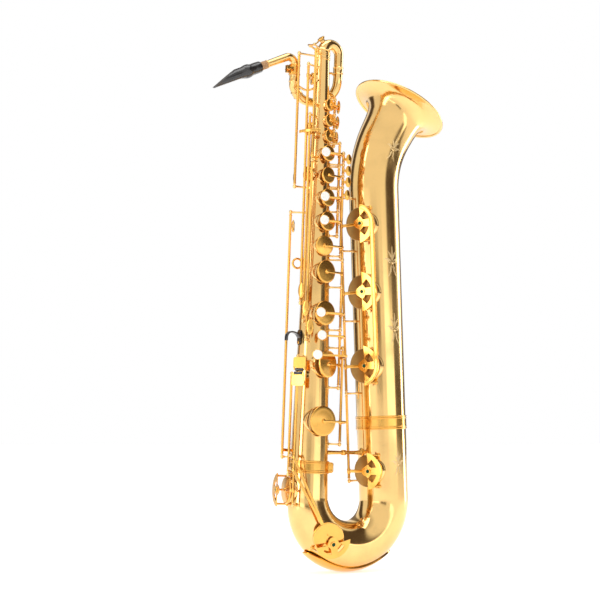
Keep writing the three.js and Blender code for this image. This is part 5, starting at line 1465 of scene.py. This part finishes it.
def build_receiver(lay, looks):
    made = Piece(lay.body)
    (low, high), bore = RECEIVER, lay.loop_tube + 0.3
    lower = [(bore, low), (bore + 2, low), (bore + 2.4, low + 0.6),
             (bore + 2.4, low + 1.8), (bore + 1.4, low + 3)]
    upper = [(radius, low + high - z) for radius, z in reversed(lower)]
    ring = [*lower, *upper, (bore, low)]
    centre = Matrix.Translation((LOOP_LEG.x, LOOP_LEG.y, 0))
    made.add(lathe(ring, 56), centre)
    middle = (low + high) / 2
    for side in (-1, 1):
        ear = slab([(-9, -7), (0, -7), (0, 7), (-9, 7)][::-1], 2.4)
        made.add(ear, basis(Vector((1, 0, 0)), Z_AXIS, Vector((0, -1, 0)),
                            Vector((LOOP_LEG.x - bore - 0.6, LOOP_LEG.y + side * 2.2 + 1.2, middle))))
    made.build("neck_receiver_brass", "instrument", looks["key_brass"], ["neck_receiver"], 0.3)

    at = Vector((LOOP_LEG.x - bore - 6.5, LOOP_LEG.y, middle))
    screw = Piece(lay.body)
    screw.add(rod(at + Vector((0, -9, 0)), at + Vector((0, 7, 0)), 1.9))
    screw.add(rod(at + Vector((0, -9.5, 0)), at + Vector((0, -5.5, 0)), 3.4, 24, 0.6))
    wing = slab([*arc(-4, 0, 3.3, 90, 270, 10), (-1, -1.8), (1, -1.8),
                 *arc(4, 0, 3.3, -90, 90, 10), (1, 1.8), (-1, 1.8)], 2)
    screw.add(wing, basis(Vector((1, 0, 0)), Z_AXIS, Vector((0, -1, 0)), at + Vector((0, -10, 0))))
    screw.build("neck_clamp_screw_brass", "instrument", looks["key_brass"], ["neck_clamp_screw"], 0.4)


def along_neck(lay, shell):
    return moved(bent(shell, lay.neck_line), Matrix.Translation((0, LOOP_LEG.y, 0)))


def neck_radius(lay, distance):
    bend_end = NECK_STRAIGHT + lay.neck_bend
    return lerp(NECK_FOOT, NECK_TIP, max(distance - bend_end, 0) / NECK_REACH)


def build_neck(lay, looks):
    made = Piece(lay.body)
    far = lay.neck_length
    rows = [(neck_radius(lay, far * i / 60), far * i / 60) for i in range(61)]
    made.add(along_neck(lay, tube_shell(rows, lay.wall, 56)))
    collar = [(NECK_FOOT, 10.5), (NECK_FOOT + 1.2, 10.5), (NECK_FOOT + 1.9, 11.6), (NECK_FOOT + 1.9, 12.6),
              (NECK_FOOT + 1.2, 13.6), (NECK_FOOT, 13.6), (NECK_FOOT, 10.5)]
    made.add(along_neck(lay, lathe(collar, 56)))
    start = far - CORK_LENGTH
    r = neck_radius(lay, start)
    stop = [(r, start - 3), (r + 0.9, start - 3), (r + 1.3, start - 2), (r + 0.9, start - 1), (r, start - 1),
            (r, start - 3)]
    made.add(along_neck(lay, lathe(stop, 56)))
    made.build("neck_brass", "neck", looks["lacquered_brass"], ["neck"])

    sleeve = [(neck_radius(lay, start) + 0.1, start), (CORK_RADIUS - 0.3, start), (CORK_RADIUS, start + 0.8),
              (CORK_RADIUS, far - 1.3), (CORK_RADIUS - 0.4, far - 0.5),
              (neck_radius(lay, far) + 0.1, far - 0.5),
              (neck_radius(lay, start) + 0.1, start)]
    ring = Piece(lay.body).add(along_neck(lay, lathe(sleeve, 56)))
    ring.build("neck_cork_sleeve", "neck", looks["neck_cork"], ["neck_cork"])
    build_mouthpiece(lay, looks)


def build_mouthpiece(lay, looks):
    """A turned shank that becomes a flat table below and a sloping beak above."""
    r, far = MOUTHPIECE_RADIUS, MOUTHPIECE_LENGTH
    outline = [(r - 2.0, 0), (r - 1.2, 0.5), (r - 0.7, 2), (r - 0.4, 12),
               (r - 0.4, 22), (r + 0.4, 24.5), (r + 1.2, 26.5),
               (r + 1.6, 30), (r + 1.5, 33), (r + 1.1, 36.5),
               (r + 0.3, 38.5), (r, 40), (r, 50), (r, 56), (r, 62), (r - 0.2, 70),
               (r - 0.4, 80), (r - 0.7, 90), (r - 0.9, 100), (r - 1, 105),
               (r - 1.3, far - 0.6), (r - 1.8, far)]
    table, start = r - 2.6, 50
    rings = []
    for radius, z in outline:
        share_of_way = max(z - start, 0) / (far - start)
        upper = lerp(r + 2.4, -table + 2.2, share_of_way ** 0.92)
        lower = -table if z > 42 else -lerp(r + 2, table, min(max(z - 39, 0) / 3, 1))
        ring = []
        for i in range(72):
            t = 2 * math.pi * i / 72
            x = min(max(radius * math.cos(t), lower), upper)
            ring.append(Vector((x, radius * math.sin(t), z)))
        rings.append(ring)
    shank = lay.neck_length - SHANK_OVER_CORK
    bore = [(CORK_RADIUS + 0.1, -0.01), (r - 2, -0.01), (r - 2, 0.6),
            (CORK_RADIUS + 0.1, 0.6), (CORK_RADIUS + 0.1, -0.01)]
    made = Piece(lay.body)
    to_shank = Matrix.Translation((0, 0, shank))
    made.add(along_neck(lay, moved(loft(rings), to_shank)))
    made.add(along_neck(lay, lathe(bore, 56, to_shank)))
    made.build("mouthpiece_ebonite", "mouthpiece", looks["black_ebonite"], ["mouthpiece"])


# ---------------------------------------------------------------- hook and ring


def build_fittings(lay, looks):
    azimuth, z = THUMB_HOOK
    base = lay.body_radius(z)
    hook = Piece(lay.body)
    at = basis(outward(azimuth), Z_AXIS, -across(azimuth), beside(azimuth, base, z))
    path = smooth_path([(1.5, 0, 0), (8, 7.2, 0), (17, 9.6, 0), (24, 8, 0), (28, 2, 0), (28.6, -7, 0)], 8)
    hook.add(sweep(path, strap_section(lambda t: 13 - 3 * t, 3.2), Vector((0, 0, 1))), at)
    foot = slab([*arc(0, 9, 6, 0, 180, 12), *arc(0, -8, 6, 180, 360, 12)], 2.6)
    hook.add(foot, at @ basis(Vector((0, 0, 1)), Vector((0, 1, 0)), Vector((-1, 0, 0)), Vector((2.8, 0, 0))))
    hook.build("thumb_hook_black", "instrument", looks["black_ebonite"], ["thumb_hook"], 0.4)
    head = [(0, 2), (3.2, 2), (3.2, 3.6), (2.4, 4.4), (0, 4.5)]
    screw = Piece(lay.body).add(lathe(head, 24, at @ aim(Vector((0, -9, 0)), Vector((1, 0, 0)))))
    screw.build("thumb_hook_screw", "instrument", looks["key_brass"])

    azimuth, z = STRAP_RING
    ring = Piece(lay.body)
    at = basis(outward(azimuth), Z_AXIS, -across(azimuth), beside(azimuth, lay.body_radius(z) + 0.4, z))
    ring.add(torus(9, 2, 64, Matrix.Translation((12.4, 0, 0))), at)
    foot = slab([*arc(0, 7, 4.6, 0, 180, 12), *arc(0, -7, 4.6, 180, 360, 12)], 2.6)
    ring.add(foot, at @ basis(Vector((0, 0, 1)), Vector((0, 1, 0)), Vector((-1, 0, 0)), Vector((2.2, 0, 0))))
    ring.add(rod(Vector((0, 0, 0)), Vector((3.6, 0, 0)), 3), at)
    ring.build("strap_ring_brass", "instrument", looks["key_brass"], ["strap_ring"])


# ---------------------------------------------------------------- studio


def floor_paint(name, rgb):
    made = Finish(name, roughness=0.85, specular_ior_level=0.2,
                  emission_color=(1, 1, 1, 1), emission_strength=0.55)
    mottle = made.noise(3.0, 3.0)
    made.link("Base Color", made.mix(mottle, tint(rgb), tint(Vector(rgb) * 0.985)))
    return made.material


class Surroundings(Finish):
    """Bright studio walls all round, with soft dark screens that give the brass its contrast."""

    def __init__(self, scene, name, turn):
        world = bpy.data.worlds.new(name)
        scene.world = world
        world.use_nodes = True
        self.tree = world.node_tree
        self.shader = self.tree.nodes["Background"]
        view = self.node("ShaderNodeTexCoord", output="Generated")
        side = self.dot(view, turn @ Vector((1, 0, 0)))
        front = self.dot(view, turn @ Vector((0, -1, 0)))
        bearing = side.math("ARCTAN2", side, front) * (180 / math.pi)
        height = self.node("ShaderNodeSeparateXYZ", inputs={"Vector": view}, output=2)
        low = 1 - self.ramp(height, 0.05, 0.11)
        walls = 1 - 0.55 * self.ramp(height, 0.72, 0.95)
        zones = {"low": low, "high": 1 - low, "both": 1}
        for centre, half, soft, depth, zone in SCREENS:
            walls = walls * self.screen(bearing, centre, half, soft, depth * zones[zone])
        boxes = 2
        for centre, half, soft in LOW_BOXES:
            boxes = boxes - self.screen(bearing, centre, half, soft, 1)
        lit = self.mix(walls, (0.04, 0.018, 0.006, 1), (1, 0.98, 0.95, 1))
        seen = self.node("ShaderNodeLightPath")
        self.link("Strength", 1 + 1.2 * low * boxes * (1 - seen))
        self.link("Color", self.mix(seen, lit, (1, 1, 1, 1)))

    def dot(self, vector, way):
        return self.node("ShaderNodeVectorMath", {"operation": "DOT_PRODUCT"},
                         {0: vector, 1: tuple(way)}, output=1)

    def screen(self, bearing, centre, half, soft, depth):
        """How much light is left beside a dark screen, from its bearing and half width in degrees."""
        off = (bearing - centre).math("ABSOLUTE", bearing - centre)
        return 1 - depth * (1 - self.ramp(off, half, half + soft))


def facing(place, target):
    """The matrix that points a lamp or the camera at a target."""
    return Matrix.Translation(place) @ (target - place).to_track_quat("-Z", "Y").to_matrix().to_4x4()


def softbox(name, place, target, width, height, power):
    data = bpy.data.lights.new(name, "AREA")
    data.shape = "RECTANGLE"
    data.size, data.size_y = width, height
    data.energy = power
    lamp = bpy.data.objects.new(name, data)
    bpy.context.scene.collection.objects.link(lamp)
    lamp.matrix_world = facing(place, target)
    lamp.visible_camera = False


def build_studio(scene):
    studio = scene.saxophone_studio
    turn = Matrix.Rotation(studio.camera_azimuth, 4, "Z")
    steps = [-40.0, -12.0, -4.0, -1.5, -0.5, 0.5, 1.5, 4.0, 12.0, 40.0]
    verts = [turn @ Vector((x, y, FLOOR_LEVEL)) for y in steps for x in steps]
    size = len(steps)
    faces = [(i * size + j, i * size + j + 1, (i + 1) * size + j + 1, (i + 1) * size + j)
             for i in range(size - 1) for j in range(size - 1)]
    mesh = bpy.data.meshes.new("studio_floor")
    mesh.from_pydata(verts, [], faces)
    mesh.shade_smooth()
    floor = bpy.data.objects.new("studio_floor", mesh)
    scene.collection.objects.link(floor)
    floor.data.materials.append(floor_paint("studio_floor_finish", studio.floor))

    Surroundings(scene, "studio_air", turn)
    scene.view_settings.view_transform = "Standard"

    softbox("left_softbox", turn @ Vector((-2.2, -1.3, 1.2)), CAMERA_AIM, 0.7, 2.4, studio.key_light)
    softbox("right_softbox", turn @ Vector((2.0, 1.2, 1.0)), CAMERA_AIM, 0.6, 2.4, studio.fill_light)
    softbox("top_softbox", turn @ Vector((0.0, -0.4, 3.2)), CAMERA_AIM, 2.2, 1.6, studio.top_light)

    lens = bpy.data.cameras.new("camera")
    lens.angle = studio.camera_field
    camera = bpy.data.objects.new("camera", lens)
    scene.collection.objects.link(camera)
    reach = studio.camera_distance
    rise, swing = studio.camera_height, studio.camera_azimuth
    level = math.cos(rise)
    way = Vector((math.sin(swing) * level, -math.cos(swing) * level, math.sin(rise)))
    camera.matrix_world = facing(CAMERA_AIM + reach * way, CAMERA_AIM)
    scene.camera = camera


# ---------------------------------------------------------------- operators and panel


class SaxophoneOperator:
    """Shared by the operators that each build a group of pieces."""

    bl_options = {"REGISTER", "UNDO"}
    builders = ()

    def execute(self, context):
        lay, looks = Layout(context.scene), finishes(context.scene)
        for build in self.builders:
            build(lay, looks)
        return {"FINISHED"}


class SAXOPHONE_OT_body(SaxophoneOperator, bpy.types.Operator):
    """Build the body tube with its tone holes, ribs and posts"""

    bl_idname = "saxophone.body"
    bl_label = "Body Tube"
    builders = (build_body,)


class SAXOPHONE_OT_bow(SaxophoneOperator, bpy.types.Operator):
    """Build the bow and its guard plate"""

    bl_idname = "saxophone.bow"
    bl_label = "Bow"
    builders = (build_bow,)


class SAXOPHONE_OT_joints(SaxophoneOperator, bpy.types.Operator):
    """Build the body clamp and the bell ferrule"""

    bl_idname = "saxophone.joints"
    bl_label = "Clamp and Ferrule"
    builders = (build_joints,)


class SAXOPHONE_OT_bell(SaxophoneOperator, bpy.types.Operator):
    """Build the bell, its ornaments and its brace"""

    bl_idname = "saxophone.bell"
    bl_label = "Bell"
    builders = (build_bell,)


class SAXOPHONE_OT_stack(SaxophoneOperator, bpy.types.Operator):
    """Build the stack keys and their pearls"""

    bl_idname = "saxophone.stack"
    bl_label = "Stack Keys"
    builders = (build_stack,)


class SAXOPHONE_OT_table(SaxophoneOperator, bpy.types.Operator):
    """Build the left little finger's table"""

    bl_idname = "saxophone.table"
    bl_label = "Little Finger Table"
    builders = (build_table,)


class SAXOPHONE_OT_side(SaxophoneOperator, bpy.types.Operator):
    """Build the side keys, the palm keys and the long fixed rod"""

    bl_idname = "saxophone.side"
    bl_label = "Side and Palm Keys"
    builders = (build_side_keys, build_palm_keys, build_trill_rods)


class SAXOPHONE_OT_little(SaxophoneOperator, bpy.types.Operator):
    """Build the right little finger's keys and rollers"""

    bl_idname = "saxophone.little"
    bl_label = "Little Finger Keys"
    builders = (build_little_finger_keys,)


class SAXOPHONE_OT_bell_keys(SaxophoneOperator, bpy.types.Operator):
    """Build the four keys that close on the bell"""

    bl_idname = "saxophone.bell_keys"
    bl_label = "Bell Keys"
    builders = (build_bell_keys,)


class SAXOPHONE_OT_guards(SaxophoneOperator, bpy.types.Operator):
    """Build the key guards and their felts"""

    bl_idname = "saxophone.guards"
    bl_label = "Guards and Felts"
    builders = (build_guards,)


class SAXOPHONE_OT_loop(SaxophoneOperator, bpy.types.Operator):
    """Build the upper loop and the octave vent"""

    bl_idname = "saxophone.loop"
    bl_label = "Upper Loop"
    builders = (build_loop, build_vent, build_long_levers)


class SAXOPHONE_OT_neck(SaxophoneOperator, bpy.types.Operator):
    """Build the neck receiver, neck, cork and mouthpiece"""

    bl_idname = "saxophone.neck"
    bl_label = "Neck and Mouthpiece"
    builders = (build_receiver, build_neck)


class SAXOPHONE_OT_fittings(SaxophoneOperator, bpy.types.Operator):
    """Build the thumb hook and the strap ring"""

    bl_idname = "saxophone.fittings"
    bl_label = "Hook and Ring"
    builders = (build_fittings,)


class SAXOPHONE_OT_studio(bpy.types.Operator):
    """Set up the floor, the lights and the camera"""

    bl_idname = "saxophone.studio"
    bl_label = "Studio"
    bl_options = {"REGISTER", "UNDO"}

    def execute(self, context):
        build_studio(context.scene)
        return {"FINISHED"}


GROUPS = {
    "saxophone_tubes": SaxophoneTubes, "saxophone_keywork": SaxophoneKeywork,
    "saxophone_finish": SaxophoneFinish, "saxophone_studio": SaxophoneStudio,
}
OPERATORS = (
    SAXOPHONE_OT_body, SAXOPHONE_OT_bow, SAXOPHONE_OT_joints,
    SAXOPHONE_OT_bell, SAXOPHONE_OT_stack, SAXOPHONE_OT_table,
    SAXOPHONE_OT_side, SAXOPHONE_OT_little, SAXOPHONE_OT_bell_keys, SAXOPHONE_OT_guards, SAXOPHONE_OT_loop,
    SAXOPHONE_OT_neck, SAXOPHONE_OT_fittings, SAXOPHONE_OT_studio,
)


class SAXOPHONE_PT_panel(bpy.types.Panel):
    """Sizes, colours and builders of the saxophone"""

    bl_idname = "SAXOPHONE_PT_panel"
    bl_label = "Baritone Saxophone"
    bl_space_type = "VIEW_3D"
    bl_region_type = "UI"
    bl_category = "Saxophone"

    def draw(self, context):
        for name, group in GROUPS.items():
            box = self.layout.box()
            box.label(text=group.__doc__)
            for prop in group.__annotations__:
                box.prop(getattr(context.scene, name), prop)
        for operator in OPERATORS:
            self.layout.operator(operator.bl_idname)


def register():
    for made in (*GROUPS.values(), *OPERATORS, SAXOPHONE_PT_panel):
        bpy.utils.register_class(made)
    for name, group in GROUPS.items():
        setattr(bpy.types.Scene, name, PointerProperty(type=group))


def unregister():
    for name in GROUPS:
        delattr(bpy.types.Scene, name)
    for made in reversed((*GROUPS.values(), *OPERATORS, SAXOPHONE_PT_panel)):
        bpy.utils.unregister_class(made)


def main():
    register()
    for operator in OPERATORS:
        getattr(bpy.ops.saxophone, operator.bl_idname.split(".")[1])()


if __name__ == "__main__":
    main()
